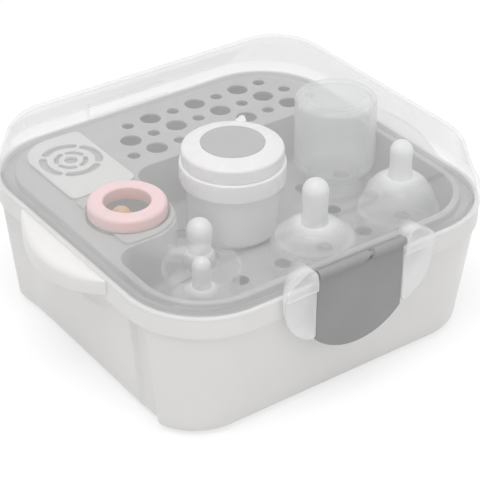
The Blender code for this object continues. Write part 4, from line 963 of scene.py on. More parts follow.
@dataclass(frozen=True)
class Rack:
    """The grey rack: flange, raised deck with a pad, the big well, the small cup's well, and holes."""

    sheet: float = 0.0020
    flange: Sizes = (0.1362, 0.1332, 0.0552)
    flange_foot: float = 0.0983
    flange_edge: float = 0.0004
    deck: Sizes = (0.1280, 0.1245, 0.0500)
    deck_height: float = 0.1070
    deck_round: float = 0.0016
    strip: float = 0.0050
    well_floor: float = 0.0650
    well_back: float = 0.0486
    strip_right: float = -0.0570
    strip_front: float = -0.0340
    nose: float = 0.0330
    well_corner: float = 0.0170
    well_fillet: float = 0.0050
    skin_cut: float = 0.3
    brim: float = 0.0012
    cup_x: float = -0.0880
    cup_y: float = 0.0020
    cup_radius: float = 0.0285
    cup_floor: float = 0.0860
    pad_tall: float = 0.0020
    pad_margin: float = 0.0012
    pad_left: float = -0.1105
    pad_back: float = 0.0348
    pad_corner: float = 0.0060
    pad_round: float = 0.0007
    hole_round: float = 0.0005
    steam_radius: float = 0.0078
    steam_pitch: float = 2.55
    steam_start: float = 0.75
    steam_rows: int = 3
    steam_columns: int = 9
    small_steam: float = 0.58
    drain_radius: float = 0.0060
    drain_pitch: float = 6.0
    drain_columns: int = 3
    drain_rows: tuple[float, ...] = (-2.6, -1.6, -0.6, 0.4)

    def well_plan(self, inset: float) -> Array:
        """The plan of the big well, wide at the front and right of the strip at the back.

        Args:
            inset: How far inside the nominal outline.

        Returns:
            Points of shape (n, 2).
        """
        right = self.deck[0] - self.strip - inset
        front = -(self.deck[1] - self.strip - inset)
        big, small = self.deck[2] - self.strip - inset, self.well_corner - inset
        strip, back = self.strip_right + inset, self.well_back - inset
        corners = np.array([(right, front), (right, back), (strip, back), (strip, self.strip_front - inset),
                            (-right, self.strip_front - inset), (-right, front)])
        return rounded_path(corners, np.array([big, small, small, self.nose + inset, small, big]), steps=14)

    def cup_plan(self, inset: float) -> Array:
        """The plan of the small cup's round well."""
        turn = np.linspace(0, math.tau, 72, endpoint=False)
        return polar(self.cup_radius - inset, turn) + (self.cup_x, self.cup_y)

    def hollow(self, plan: Callable[[float], Array], floor: float) -> Shell:
        """The space of a well: a quarter circle at its floor and a flared brim at the deck.

        Args:
            plan: The well's outline for an inset.
            floor: Height of the well's floor.

        Returns:
            A closed shell.
        """
        levels = [(inset, floor + rise) for inset, rise in quarter(self.well_fillet, 5)]
        levels += [(-rise, self.deck_height - inset) for inset, rise in quarter(self.brim, 5)]
        levels.append((-self.brim, self.deck_height + self.pad_tall + OVERRUN))
        return closed_shell(stacked(levels, plan))

    def skin(self, plan: Callable[[float], Array], floor: float) -> Shell:
        """The outside of a well, one sheet outside its space, its fillet in two flats.

        Args:
            plan: The well's outline for an inset.
            floor: Height of the well's floor.

        Returns:
            A closed shell.
        """
        sheet, fillet = self.sheet, self.well_fillet
        under, cut = floor - sheet, fillet * self.skin_cut
        levels = [(fillet - sheet, under), (cut - sheet, under + cut), (-sheet, under + fillet),
                  (-sheet, self.deck_height - sheet / 2)]
        return closed_shell(stacked(levels, plan))

    def body(self) -> Shell:
        """The flange and the deck over it as one solid block.

        Returns:
            A closed shell.
        """
        flange, deck, edge = np.array(self.flange), np.array(self.deck), self.flange_edge
        foot, top = self.flange_foot, self.flange_foot + self.sheet
        levels = [(flange - edge, foot), (flange, foot + edge), (flange, top - edge), (flange - edge, top)]
        levels += [(deck + inset, top + rise) for inset, rise in quarter(edge * 2, 5)]
        levels += [(deck - rise, self.deck_height - inset) for inset, rise in quarter(self.deck_round, 5)]
        return block(levels)

    def pad(self) -> Shell:
        """The raised pad on the strip round the small cup's well, its top edge eased.

        Returns:
            A closed shell.
        """
        left, right = self.pad_left, self.strip_right - self.pad_margin
        front, back = self.strip_front + self.pad_margin, self.pad_back
        corners = np.array([(left, back), (left, front), (right, front), (right, back)])
        corner = self.pad_corner
        radii = np.array([corner / 2, corner, self.nose - self.pad_margin, corner / 2])
        plan = rounded_path(corners, radii, steps=14)
        top = self.deck_height + self.pad_tall
        levels = [(0.0, self.deck_height - self.sheet / 2)]
        levels += [(rise, top - inset) for inset, rise in quarter(self.pad_round, 4)]
        return closed_shell(stacked(levels, lambda inset: inset_outline(plan, inset)))

    def under_deck(self) -> Shell:
        """What is cut away under the deck."""
        sizes = np.array(self.deck) - self.sheet
        return block([(sizes, self.flange_foot - OVERRUN), (sizes, self.deck_height - self.sheet)])

    def hole(self, x: float, y: float, radius: float, high: float) -> Shell:
        """A hole through the sheet whose upper face is at high, both rims eased by quarter circles.

        Args:
            x: Place along X.
            y: Place along Y.
            radius: Its radius.
            high: Height of the sheet's upper face.

        Returns:
            A closed shell.
        """
        low, rim = high - self.sheet, quarter(self.hole_round, 3)
        wide, below, above = radius + self.hole_round, low - OVERRUN, high + OVERRUN
        profile = [(0.0, below), (wide, below), *((radius + inset, low + rise) for inset, rise in rim),
                   *((radius + rise, high - inset) for inset, rise in rim), (wide, above), (0.0, above)]
        return lathe(np.array(profile), x, y, count=28)

    def steam_holes(self) -> list[Shell]:
        """Plain staggered rows of big and small holes in the back deck.

        Returns:
            Closed shells.
        """
        pitch = self.steam_radius * self.steam_pitch
        corner = np.array(self.deck[:2]) - self.deck[2]
        room = self.deck[2] - self.sheet * 2
        first_y = self.well_back + self.sheet + self.steam_radius * 2
        found = []
        for row in range(self.steam_rows):
            for column in range(self.steam_columns - row):
                x = self.strip_right + pitch * (self.steam_start + column + row / 2)
                y = first_y + pitch * row
                radius = self.steam_radius * (1.0 if (row + column) % 2 else self.small_steam)
                past_corner = math.hypot(max(0.0, x - corner[0]), max(0.0, y - corner[1]))
                if past_corner + radius < room:
                    found.append(self.hole(x, y, radius, self.deck_height))
        return found

    def drain_holes(self) -> list[Shell]:
        """Rows of drain holes in the big well's floor.

        Returns:
            Closed shells.
        """
        pitch, margin = self.drain_radius * self.drain_pitch, self.drain_radius * 2
        found = []
        for column in range(-self.drain_columns, self.drain_columns + 1):
            for row in self.drain_rows:
                x, y = column * pitch, row * pitch
                by_strip = x < self.strip_right + margin and y > self.strip_front - margin
                if not by_strip and y < self.well_back - margin:
                    found.append(self.hole(x, y, self.drain_radius, self.well_floor))
        return found

    def build(self, paint: Paintshop) -> None:
        """Builds and dresses the rack.

        Args:
            paint: Makes the finishes' materials.
        """
        rack = thing("rack_moulding", self.body())
        holes = self.steam_holes() + self.drain_holes()
        wells = ((self.well_plan, self.well_floor), (self.cup_plan, self.cup_floor))
        carve(rack, [(Carving.CUT, self.under_deck()), *((Carving.JOIN, self.skin(*well)) for well in wells),
                     (Carving.JOIN, self.pad()), *((Carving.CUT, self.hollow(*well)) for well in wells),
                     (Carving.CUT, holes[0].joined(*holes[1:]))])
        paint.dress(rack, RACK_GREY, Body.TUB, "rack")


@dataclass(frozen=True)
class Tray:
    """The pale tray for small parts, with ring slots round a hole."""

    low: float = 0.1073
    sheet: float = 0.0020
    left: float = -0.1105
    right: float = -0.0582
    front: float = 0.0360
    back: float = 0.1185
    outer_corner: float = 0.0319
    corner: float = 0.0063
    hole_radius: float = 0.0048
    slot_radii: tuple[float, float] = (0.0105, 0.0200)
    slot_widths: tuple[float, float] = (0.0038, 0.0058)
    slot_web: float = 0.0016
    centre_shift: float = 0.0060
    rounding: float = 0.0007

    def slot(self, centre: Array, ring: int, middle: float) -> Array:
        """The plan of one of a ring's four slots, along an arc with round ends.

        Args:
            centre: The rings' centre.
            ring: 0 for the inner ring, 1 for the outer.
            middle: Angle of the slot's middle.

        Returns:
            Points of shape (n, 2).
        """
        radius, half = self.slot_radii[ring], self.slot_widths[ring] / 2
        reach = math.pi / 4 - (half + self.slot_web / 2) / radius
        swing = np.linspace(middle - reach, middle + reach, 17)
        turn = np.linspace(0, math.pi, 9)[1:-1]
        caps = []
        for angle, sign in ((middle + reach, 1), (middle - reach, -1)):
            out = polar(1.0, angle)
            along = sign * np.array((-out[1], out[0]))
            caps.append(radius * out + half * (np.outer(np.cos(turn), out) + np.outer(np.sin(turn), along)))
        outer, inner = polar(radius + half, swing), polar(radius - half, swing)
        return centre + np.concatenate([outer, caps[0], inner[::-1], caps[1][::-1]])

    def build(self, paint: Paintshop) -> None:
        """Builds and dresses the tray.

        Args:
            paint: Makes the finishes' materials.
        """
        corners = np.array([(self.left, self.back), (self.left, self.front), (self.right, self.front),
                            (self.right, self.back)])
        plan = rounded_path(corners, np.repeat((self.outer_corner, self.corner), (1, 3)), steps=14)
        slab = rounded_slab(plan, self.low, self.low + self.sheet, self.rounding)
        tray = thing("tray_plate", closed_shell(slab))
        centre = np.array(((self.left + self.right) / 2, (self.front + self.back) / 2 + self.centre_shift))
        low, high = self.low - OVERRUN, self.low + self.sheet + OVERRUN
        profile = np.array([(0.0, low), (self.hole_radius, low), (self.hole_radius, high), (0.0, high)])
        cuts = [lathe(profile, *centre, count=36)]
        for ring in range(2):
            for number in range(4):
                slot = self.slot(centre, ring, math.pi / 4 * (2 * number + 1 + ring))
                cuts.append(closed_shell(at_heights(np.stack([slot, slot]), [low, high])))
        carve(tray, [(Carving.CUT, cuts[0].joined(*cuts[1:]))])
        paint.dress(tray, PALE_GREY, Body.TUB, "parts_tray")


# Lid and latch


@dataclass(frozen=True)
class Hinge:
    """What the latch and the lid's lugs and hook share."""

    face: float = 0.1388
    width: float = 0.0714
    pin_y: float = 0.1417
    pin_z: float = 0.1148
    pin_radius: float = 0.0015
    pin_reach: float = 0.0048
    pin_gap: float = 0.0003
    pin_round: float = 0.0003
    bore_round: float = 0.0002
    barrel_radius: float = 0.0032
    barrel_round: float = 0.0006
    latch_thick: float = 0.0030
    rib_half_length: float = 0.0260
    rib_reach: float = 0.0006
    rib_tall: float = 0.0030
    rib_top: float = 0.0900
    rib_corner: float = 0.0006
    rib_round: float = 0.0003

    def rod(self, radius: float, half_length: float, rounding: float) -> Shell:
        """A rod on the front latch's axis."""
        return cross_rod(radius, half_length, FRONT * self.pin_y, self.pin_z, rounding)

    def catch_rib(self, facing: int) -> Shell:
        """The rib inside a latch or hook that catches under the tub's bead.

        Args:
            facing: FRONT or BACK.

        Returns:
            A closed shell.
        """
        low, half = self.rib_top - self.rib_tall, self.rib_half_length
        plan = np.array([(-half, low), (half, low), (half, self.rib_top), (-half, self.rib_top)])
        return upright_slab(rounded_path(plan, self.rib_corner, steps=3), self.face - self.rib_reach,
                            self.face + self.latch_thick / 2, self.rib_round, facing)


@dataclass(frozen=True)
class Lid:
    """The clear dome with its skirt, inner lip, two front lugs and a fixed hook behind."""

    hinge: Hinge = Hinge()
    rim: Sizes = (0.1400, 0.1370, 0.0590)
    rim_height: float = 0.1040
    rim_wall: float = 0.0033
    height: float = 0.1480
    wall: float = 0.0020
    skirt_proud: float = 0.0012
    skirt_tall: float = 0.0080
    skirt_step: float = 0.0018
    skirt_round: float = 0.0007
    lip_drop: float = 0.0028
    lip_thick: float = 0.0018
    lip_gap: float = 0.0006
    lip_edge: float = 0.0005
    shoulder: Sizes = (0.1335, 0.1190, 0.0430)
    shoulder_drop: float = 0.0140
    top: Sizes = (0.1155, 0.0990, 0.0260)
    lug_length: float = 0.0255
    lug_side_gap: float = 0.0005
    lug_thick: float = 0.0040
    lug_foot: float = 0.0645
    lug_hump: float = 0.1225
    lug_corner: float = 0.0040
    lug_boss: float = 0.0070
    lug_root: float = 0.0090
    lug_round: float = 0.0010
    boss_set_back: float = 0.0009
    boss_corner: float = 0.0005
    hook_drop: float = 0.0240
    hook_corner: float = 0.0080
    skirt_share: float = 0.10
    wall_share: float = 0.24
    wall_fade: float = 0.0060
    shoulder_share: float = 0.35
    clear_front: float = -0.0850
    front_fade: float = 0.0300
    edge_fade: float = 0.0010

    def outer_levels(self) -> Levels:
        """Sizes and heights of the outside: skirt, step, wall and a quarter-ellipse shoulder.

        Returns:
            Pairs of half width, half depth and corner radius, and the height.
        """
        skirt = np.array(self.rim) + self.skirt_proud
        foot = self.rim_height + SEAT_GAP
        top = foot + self.skirt_tall
        bend = quarter(self.skirt_round, 4)
        levels = [(skirt - inset, foot + rise) for inset, rise in bend]
        levels += [(skirt - rise, top - inset) for inset, rise in bend]
        levels.append((skirt - self.skirt_step, top + self.skirt_step / 2))
        shoulder, crown = np.array(self.shoulder), np.array(self.top)
        base = self.height - self.shoulder_drop
        start, start_z = levels[-1]
        levels += [(blend(start, shoulder, share), blend(start_z, base, share))
                   for share in (0.25, 0.5, 0.75)]
        levels += [(crown + (shoulder - crown) * math.cos(angle), base + self.shoulder_drop * math.sin(angle))
                   for angle in np.linspace(0, QUARTER, 15)]
        return levels

    def outside(self) -> Shell:
        """The lip and the whole outer skin as a solid block.

        Returns:
            A closed shell.
        """
        mouth = np.array(self.rim) - self.rim_wall - self.lip_gap
        low = self.rim_height - self.lip_drop
        lip = [(mouth - self.lip_edge, low), (mouth, low + self.lip_edge),
               (mouth, self.rim_height + SEAT_GAP)]
        return block(lip + self.outer_levels(), arc_points=24, side_points=8)

    def inside(self) -> Shell:
        """The space under the lid: the lip's bore, then one wall inside the outer skin.

        Returns:
            A closed shell.
        """
        bore = np.array(self.rim) - self.rim_wall - self.lip_gap - self.lip_thick
        base = self.height - self.shoulder_drop
        levels = [(bore, self.rim_height - self.lip_drop - OVERRUN), (bore, self.rim_height + self.wall)]
        for size, z in self.outer_levels():
            if z > self.rim_height + SEAT_GAP + self.skirt_tall:
                drop = self.wall * np.clip((z - base) / self.shoulder_drop, 0, 1)
                levels.append((size - self.wall, z - drop))
        return block(levels, arc_points=24, side_points=8)

    def lug_plan(self, side: int) -> Array:
        """The (x, z) outline of a lug, hump above and rounded foot below, counter-clockwise.

        Args:
            side: -1 for the left, 1 for the right.

        Returns:
            Points of shape (n, 2).
        """
        shares = np.array([
            (0.00, 0.00), (0.36, 0.07), (0.66, 0.18), (0.86, 0.32), (0.97, 0.50), (1.00, 0.68),
            (0.97, 0.80), (0.90, 0.86), (0.72, 0.91), (0.55, 0.955), (0.40, 0.99), (0.24, 1.00),
            (0.10, 0.955), (0.02, 0.88), (0.00, 0.80)])
        start = self.hinge.width / 2 + self.lug_side_gap
        plan = np.stack([side * (start + self.lug_length * shares[:, 0]),
                         blend(self.lug_foot, self.lug_hump, shares[:, 1])], axis=-1)
        return rounded_path(plan if side > 0 else plan[::-1], self.lug_corner, steps=4)

    def boss(self, plan: Array, facing: int) -> Shell:
        """The thick root of a lug or hook, from inside the wall to well out of it."""
        root, face = self.hinge.face - self.lug_root, self.hinge.face - self.boss_set_back
        return upright_slab(plan, root, face + self.lug_boss, self.lug_round, facing)

    def lug(self, side: int) -> list[Shell]:
        """A lug's thin plate over the tub's front, and the boss that carries the hinge pin.

        Args:
            side: -1 for the left, 1 for the right.

        Returns:
            Closed shells: plate and boss.
        """
        face = self.hinge.face
        plan = self.lug_plan(side)
        root = self.rim_height + SEAT_GAP
        upper = plan[plan[:, 1] > root + self.boss_corner]
        ends = np.array([(upper[:, 0].max(), root), (upper[:, 0].min(), root)])
        turned = np.argmax(np.abs(np.diff(np.vstack([upper, upper[:1]])[:, 0])))
        upper = np.roll(upper, -turned - 1, axis=0)
        ends = ends if upper[-1, 0] > upper[0, 0] else ends[::-1]
        return [upright_slab(plan, face, face + self.lug_thick, self.lug_round),
                self.boss(np.vstack([upper, ends]), FRONT)]

    def hook_plan(self, low: float, corner: float) -> Array:
        """The (x, z) outline of the hook's flap or root, up to the skirt's top.

        Args:
            low: Height of its lower edge.
            corner: Radius of its lower corners.

        Returns:
            Points of shape (n, 2).
        """
        half, high, small = self.hinge.width / 2, self.rim_height + self.skirt_tall, self.hook_corner / 4
        corners = np.array([(half, low), (half, high), (-half, high), (-half, low)])
        return rounded_path(corners, np.array([corner, small, small, corner]))

    def hook(self) -> list[Shell]:
        """The fixed hook behind: a flap from the skirt down over the tub's bead, and its root.

        Returns:
            Closed shells: flap, root and catch rib.
        """
        face = self.hinge.face
        flap = self.hook_plan(self.rim_height - self.hook_drop, self.hook_corner)
        root = self.hook_plan(self.rim_height + SEAT_GAP, self.boss_corner)
        return [upright_slab(flap, face, face + self.lug_thick, self.lug_round, BACK), self.boss(root, BACK),
                self.hinge.catch_rib(BACK)]

    def mark_thickness(self, mesh: bpy.types.Mesh) -> None:
        """Writes the attribute "thickness": 0 on the top plate, 1 on the lugs, shares on wall and skirt.

        The lugs are where -y passes the skirt's face, and the skirt is between its foot and its
        step. The wall's share fades out across the shoulder and towards the front, which is
        clear.

        Args:
            mesh: The lid's mesh.
        """
        y, z = points_of(mesh)[:, 1:].T
        proud = np.clip((-y - self.rim[1] - self.skirt_proud) / self.edge_fade, 0, 1)
        skirt = np.clip((self.rim_height + self.skirt_tall + self.edge_fade - z) / self.edge_fade, 0, 1)
        wall = np.clip((self.height - self.shoulder_drop * self.shoulder_share - z) / self.wall_fade, 0, 1)
        wall *= np.clip((y - self.clear_front) / self.front_fade, 0, 1)
        share = blend(wall * self.wall_share, self.skirt_share, skirt)
        mark(mesh, "thickness", np.maximum(proud, share))

    def build(self, paint: Paintshop) -> None:
        """Builds and dresses the lid.

        Args:
            paint: Makes the finishes' materials.
        """
        hinge = self.hinge
        lid = thing("lid_dome", self.outside())
        reach = hinge.width / 2 + hinge.pin_reach + hinge.pin_gap * 3
        bore = hinge.rod(hinge.pin_radius + hinge.pin_gap, reach, hinge.bore_round)
        steps = [(Carving.JOIN, part) for part in self.lug(-1) + self.lug(1) + self.hook()]
        carve(lid, steps + [(Carving.CUT, self.inside()), (Carving.CUT, bore)])
        self.mark_thickness(lid.data)
        paint.dress(lid, LID_CLEAR, Body.LID, "lid")


@dataclass(frozen=True)
class Latch:
    """The grey latch: a flap with an arc for its lower edge, a notched barrel and two stub pins."""

    hinge: Hinge = Hinge()
    end_height: float = 0.0640
    middle_height: float = 0.0486
    below_pin: float = 0.0010
    end_corner: float = 0.0030
    notch_offset: float = 0.0067
    notch_width: float = 0.0045
    notch_depth: float = 0.0045
    notch_lean: float = 0.0030
    notch_corner: float = 0.0008
    notch_round: float = 0.0001
    rounding: float = 0.0009

    def flap_plan(self) -> Array:
        """The (x, z) outline: straight sides, an arc below through the ends and the middle.

        Returns:
            Points of shape (n, 2).
        """
        half = self.hinge.width / 2
        drop = self.end_height - self.middle_height
        radius = (half**2 + drop**2) / (2 * drop)
        reach = math.asin(half / radius)
        turn = np.linspace(-QUARTER - reach, -QUARTER + reach, 33)
        lower = polar(radius, turn) + (0, self.middle_height + radius)
        top = self.hinge.pin_z - self.below_pin
        radii = np.zeros(len(lower) + 2)
        radii[[0, len(lower) - 1]] = self.end_corner
        return rounded_path(np.vstack([lower, [(half, top), (-half, top)]]), radii)

    def notch(self) -> Shell:
        """The slanting notch in the barrel.

        Returns:
            A closed shell.
        """
        hinge, half, lean, middle = self.hinge, self.notch_width / 2, self.notch_lean, self.notch_offset
        reach = hinge.barrel_radius + OVERRUN
        low, high = hinge.pin_z - self.notch_depth, hinge.pin_z + reach
        plan = np.array([(middle - half - lean, low), (middle + half - lean, low),
                         (middle + half + lean, high), (middle - half + lean, high)])
        return upright_slab(rounded_path(plan, self.notch_corner, steps=4), hinge.face - reach,
                            hinge.face + hinge.latch_thick + reach, self.notch_round)

    def build(self, paint: Paintshop) -> None:
        """Builds and dresses the latch.

        Args:
            paint: Makes the finishes' materials.
        """
        hinge, half = self.hinge, self.hinge.width / 2
        far = hinge.face + hinge.latch_thick
        latch = thing("latch_flap", upright_slab(self.flap_plan(), hinge.face, far, self.rounding))
        barrel = hinge.rod(hinge.barrel_radius, half, hinge.barrel_round)
        pins = hinge.rod(hinge.pin_radius, half + hinge.pin_reach, hinge.pin_round)
        carve(latch, [(Carving.JOIN, barrel), (Carving.JOIN, hinge.catch_rib(FRONT)),
                      (Carving.CUT, self.notch()), (Carving.JOIN, pins)])
        paint.dress(latch, LATCH_GREY, Body.FRONT_LATCH, "latch_front")


# Load


@dataclass(frozen=True)
class Cup:
    """A thin cup, or with its mouth down a hood."""

    name: str
    x: float
    y: float
    seat: float
    mouth: float
    closed: float
    height: float
    round: float
    mouth_up: bool
    wall: float = 0.0015
    bead: float = 0.0007
    bead_tall: float = 0.0035
    bead_slope: float = 0.0008
    bead_rounds: tuple[float, ...] = (0.0003, 0.0005, 0.0007, 0.0007)
    inner_share: float = 0.7

    def profile(self) -> Array:
        """From the axis up the outside, over a beaded mouth and down the inside to the axis.

        Returns:
            Points (radius, height).
        """
        bead_z = self.height - self.bead_tall
        at_bead = blend(self.closed, self.mouth - self.bead, bead_z / self.height)
        points = np.array([
            (0.0, 0.0), (self.closed, 0.0), (at_bead, bead_z), (self.mouth, bead_z + self.bead_slope),
            (self.mouth, self.height), (self.mouth - self.bead - self.wall, self.height),
            (self.closed - self.wall, self.wall), (0.0, self.wall)])
        radii = np.array([0, self.round, *self.bead_rounds, self.round * self.inner_share, 0])
        path = rounded_path(points, radii, closed=False)
        return path if self.mouth_up else np.stack([path[:, 0], self.height - path[:, 1]], axis=-1)

    def build(self, paint: Paintshop, finish: Finish) -> None:
        """Builds and dresses the cup, which stands for the CAD node of its name."""
        cup = thing(f"{self.name}_wall", lathe(self.profile(), self.x, self.y, self.seat))
        paint.dress(cup, finish, Body.TUB, self.name)


@dataclass(frozen=True)
class Teat:
    """A soft teat on its flange."""

    name: str
    x: float
    y: float
    seat: float
    flange: float
    dome: float
    dome_height: float
    tip: float
    height: float
    flange_thick: float = 0.0023
    flange_round: float = 0.0006
    flange_taper: float = 0.0001
    wall: float = 0.0016
    neck_share: float = 0.86
    dome_share: float = 0.93

    def side(self, inset: float) -> Array:
        """Dome, neck and tip as (r, h), inset from the outer skin.

        The dome's radius falls from its own to the neck's with the cosine as its height rises
        with the sine; the shaft swells back to the tip's radius and ends in a quarter circle.

        Args:
            inset: How far inside the outer skin.

        Returns:
            Points (radius, height).
        """
        neck = self.tip * self.neck_share
        angle = np.linspace(0, QUARTER * self.dome_share, 14)
        across = neck + (self.dome - neck) * np.cos(angle) - inset
        dome = np.stack([across, self.dome_height * np.sin(angle)], axis=-1)
        start, shaft_top = dome[-1, 1], self.height - self.tip
        share = np.linspace(0, 1, 11)[1:-1]
        swell = neck + (self.tip - neck) * (3 * share**2 - 2 * share**3)
        sink = (dome[-1, 0] + inset - neck) * (1 - share) ** 3
        shaft = np.stack([swell + sink - inset, blend(start, shaft_top, share)], axis=-1)
        cap = polar(self.tip - inset, np.linspace(0, QUARTER, 9)) + (0, shaft_top)
        cap[-1, 0] = 0.0
        return np.vstack([dome, shaft, cap])

    def build(self, paint: Paintshop, finish: Finish) -> None:
        """Builds and dresses the teat, which stands for the CAD node of its name.

        Args:
            paint: Makes the finishes' materials.
            finish: What it looks like.
        """
        outer = self.side(0.0)
        outer[:, 1] = np.maximum(outer[:, 1], self.flange_thick)
        flange, thick, edge = self.flange, self.flange_thick, self.flange_round
        foot = np.array([(flange - self.flange_taper, thick), (flange, thick / 2 + edge), (flange, edge),
                         (flange - edge, 0.0)])
        keep = np.concatenate([[True], np.abs(np.diff(outer[::-1], axis=0)).sum(axis=1) > SAME_POINT])
        profile = np.vstack([outer[::-1][keep], foot, self.side(self.wall)])
        teat = thing(f"{self.name}_skin", lathe(profile, self.x, self.y, self.seat, count=48))
        points = points_of(teat.data)
        radius = np.hypot(points[:, 0] - self.x, points[:, 1] - self.y)
        mark(teat.data, "thickness", np.clip((self.dome - radius) / (self.dome - self.tip), 0, 1) ** 2)
        paint.dress(teat, finish, Body.TUB, self.name)


@dataclass(frozen=True)
class Jar:
    """The wide storage jar: clear body, white collar, white cap with a pull tab, grey disc."""

    x: float = -0.0017
    y: float = 0.0002
    seat: float = 0.0653
    body_radius: float = 0.0340
    body_height: float = 0.0535
    body_taper: float = 0.0009
    body_round: float = 0.0060
    wall: float = 0.0018
    collar_radius: float = 0.0380
    collar_height: float = 0.0145
    collar_web: float = 0.0024
    collar_lip: float = 0.0050
    collar_rounds: tuple[float, ...] = (0.0004, 0.0010, 0.0014, 0.0004, 0.0004, 0.0004)
    cap_radius: float = 0.0363
    cap_height: float = 0.0140
    cap_wall: float = 0.0022
    cap_rounds: tuple[float, ...] = (0.0060, 0.0010, 0.0004, 0.0006, 0.0024, 0.0300, 0.0004, 0.0003)
    crown: float = 0.0035
    crown_step: float = 0.0009
    crown_rise_share: float = 0.7
    disc_radius: float = 0.0225
    disc_depth: float = 0.0012
    disc_proud: float = 0.0001
    disc_round: float = 0.0003
    tab_length: float = 0.0050
    tab_width: float = 0.0090
    tab_rise: float = 0.0022
    tab_root: float = 0.0034
    tab_corner: float = 0.0012
    tab_round: float = 0.0007

    def band(self, name: str, profile: Array, count: int = 96) -> bpy.types.Object:
        """One of the jar's pieces, turned about its axis."""
        return thing(name, lathe(profile, self.x, self.y, count=count))

    def tab(self, edge: float) -> Shell:
        """The cap's pull tab, which points to the back right.

        Args:
            edge: Height of the skirt's upper edge.

        Returns:
            A closed shell.
        """
        half, tip = self.tab_width / 2, self.cap_radius + self.tab_length
        root = self.cap_radius - self.tab_root
        corners = np.array([(root, -half), (tip, -half / 3), (tip, half / 3), (root, half)])
        turned = np.array([(1.0, -1.0), (1.0, 1.0)]) * math.sqrt(0.5)
        plan = rounded_path(corners, self.tab_corner, steps=4) @ turned.T + np.array((self.x, self.y))
        return closed_shell(rounded_slab(plan, edge - self.cap_wall, edge + self.tab_rise, self.tab_round))

    def collar_profile(self, web: float, top: float) -> Array:
        """The collar's section: a band round the body's mouth with a web over it, from web to top.

        Args:
            web: Height of the web's underside.
            top: Height of its upper face.

        Returns:
            Points (radius, height).
        """
        low, outer = top - self.collar_height, self.collar_radius
        bore, lip = self.body_radius + SEAT_GAP, self.body_radius - self.wall - self.collar_lip
        points = np.array([(bore, low), (outer, low), (outer, top), (lip, top), (lip, web), (bore, web)])
        return rounded_path(points, np.array(self.collar_rounds), steps=5)

    def cap_profile(self, foot: float, edge: float, top: float) -> Array:
        """The cap's section: a skirt from foot to edge and a crown up to top, sunk for the disc.

        Args:
            foot: Height of the skirt's foot.
            edge: Height of its upper edge.
            top: Height of the crown.

        Returns:
            Points (radius, height).
        """
        skirt, seat = self.cap_radius - self.cap_wall, self.disc_radius + SEAT_GAP
        roof, sunk = top - self.cap_wall - self.disc_depth, top - self.disc_depth
        crown = (blend(self.cap_radius, seat, 0.5), blend(edge, top, self.crown_rise_share))
        points = np.array([
            (0.0, roof), (self.disc_radius, roof), (skirt, edge - self.cap_wall), (skirt, foot),
            (self.cap_radius, foot), (self.cap_radius, edge), crown, (seat, top), (seat, sunk), (0.0, sunk)])
        path = rounded_path(points, np.array([0, *self.cap_rounds, 0]), closed=False)
        return refined(path, self.crown_step)

    def disc_profile(self, low: float, high: float) -> Array:
        """The disc's section, its edges eased."""
        points = np.array([(0.0, low), (self.disc_radius, low), (self.disc_radius, high), (0.0, high)])
        return rounded_path(points, np.array([0, self.disc_round, self.disc_round, 0]), steps=3, closed=False)

    def build(self, paint: Paintshop) -> None:
        """Builds and dresses the jar's four pieces.

        Args:
            paint: Makes the finishes' materials.
        """
        Cup("jar_body", self.x, self.y, self.seat, self.body_radius, self.body_radius - self.body_taper,
            self.body_height, self.body_round, True, self.wall, 0.0).build(paint, JAR_CLEAR)
        web = self.seat + self.body_height + SEAT_GAP
        web_top = web + self.collar_web
        collar = self.band("jar_collar_band", self.collar_profile(web, web_top))
        paint.dress(collar, CAP_WHITE, Body.TUB, "jar_collar")
        foot = web_top + SEAT_GAP
        top = foot + self.cap_height
        edge = top - self.crown
        cap = self.band("jar_cap_shell", self.cap_profile(foot, edge, top), count=144)
        carve(cap, [(Carving.JOIN, self.tab(edge))])
        paint.dress(cap, CAP_WHITE, Body.TUB, "jar_cap")
        low, high = top - self.disc_depth + SEAT_GAP, top + self.disc_proud
        disc = self.band("jar_disc_face", self.disc_profile(low, high))
        paint.dress(disc, DISC_GREY, Body.TUB, "jar_disc")


@dataclass(frozen=True)
class Bottle:
    """The feeding bottle, mouth down in the well."""

    x: float = 0.0925
    y: float = 0.0040
    seat: float = 0.0653
    radius: float = 0.0300
    neck: float = 0.0215
    neck_height: float = 0.0120
    shoulder_height: float = 0.0100
    height: float = 0.0757
    wall: float = 0.0018
    dish_start: float = 0.0080
    dish_end: float = 0.0105
    dish_depth: float = 0.0014
    rounds: tuple[float, ...] = (0.001, 0.005, 0.004, 0.003, 0.0005, 0.0005, 0.004, 0.006, 0.005,
                                 0.002, 0.002)

    def build(self, paint: Paintshop) -> None:
        """Builds and dresses the bottle: neck, shoulder, wall and a dished base on top.

        Args:
            paint: Makes the finishes' materials.
        """
        top, w, radius = self.height, self.wall, self.radius
        shoulder, dish = self.neck_height + self.shoulder_height, self.height - self.dish_depth
        points = np.array([(0.0, dish - w), (radius - self.dish_end - w / 2, dish - w), (radius - w, top - w),
                           (radius - w, shoulder), (self.neck - w, self.neck_height), (self.neck - w, 0.0),
                           (self.neck, 0.0), (self.neck, self.neck_height), (radius, shoulder), (radius, top),
                           (radius - self.dish_start, top), (radius - self.dish_end, dish), (0.0, dish)])
        profile = rounded_path(points, np.array([0, *self.rounds, 0]), steps=7, closed=False)
        bottle = thing("bottle_wall", lathe(profile, self.x, self.y, self.seat, count=80))
        paint.dress(bottle, BOTTLE_CLOUDY, Body.TUB, "feeding_bottle")


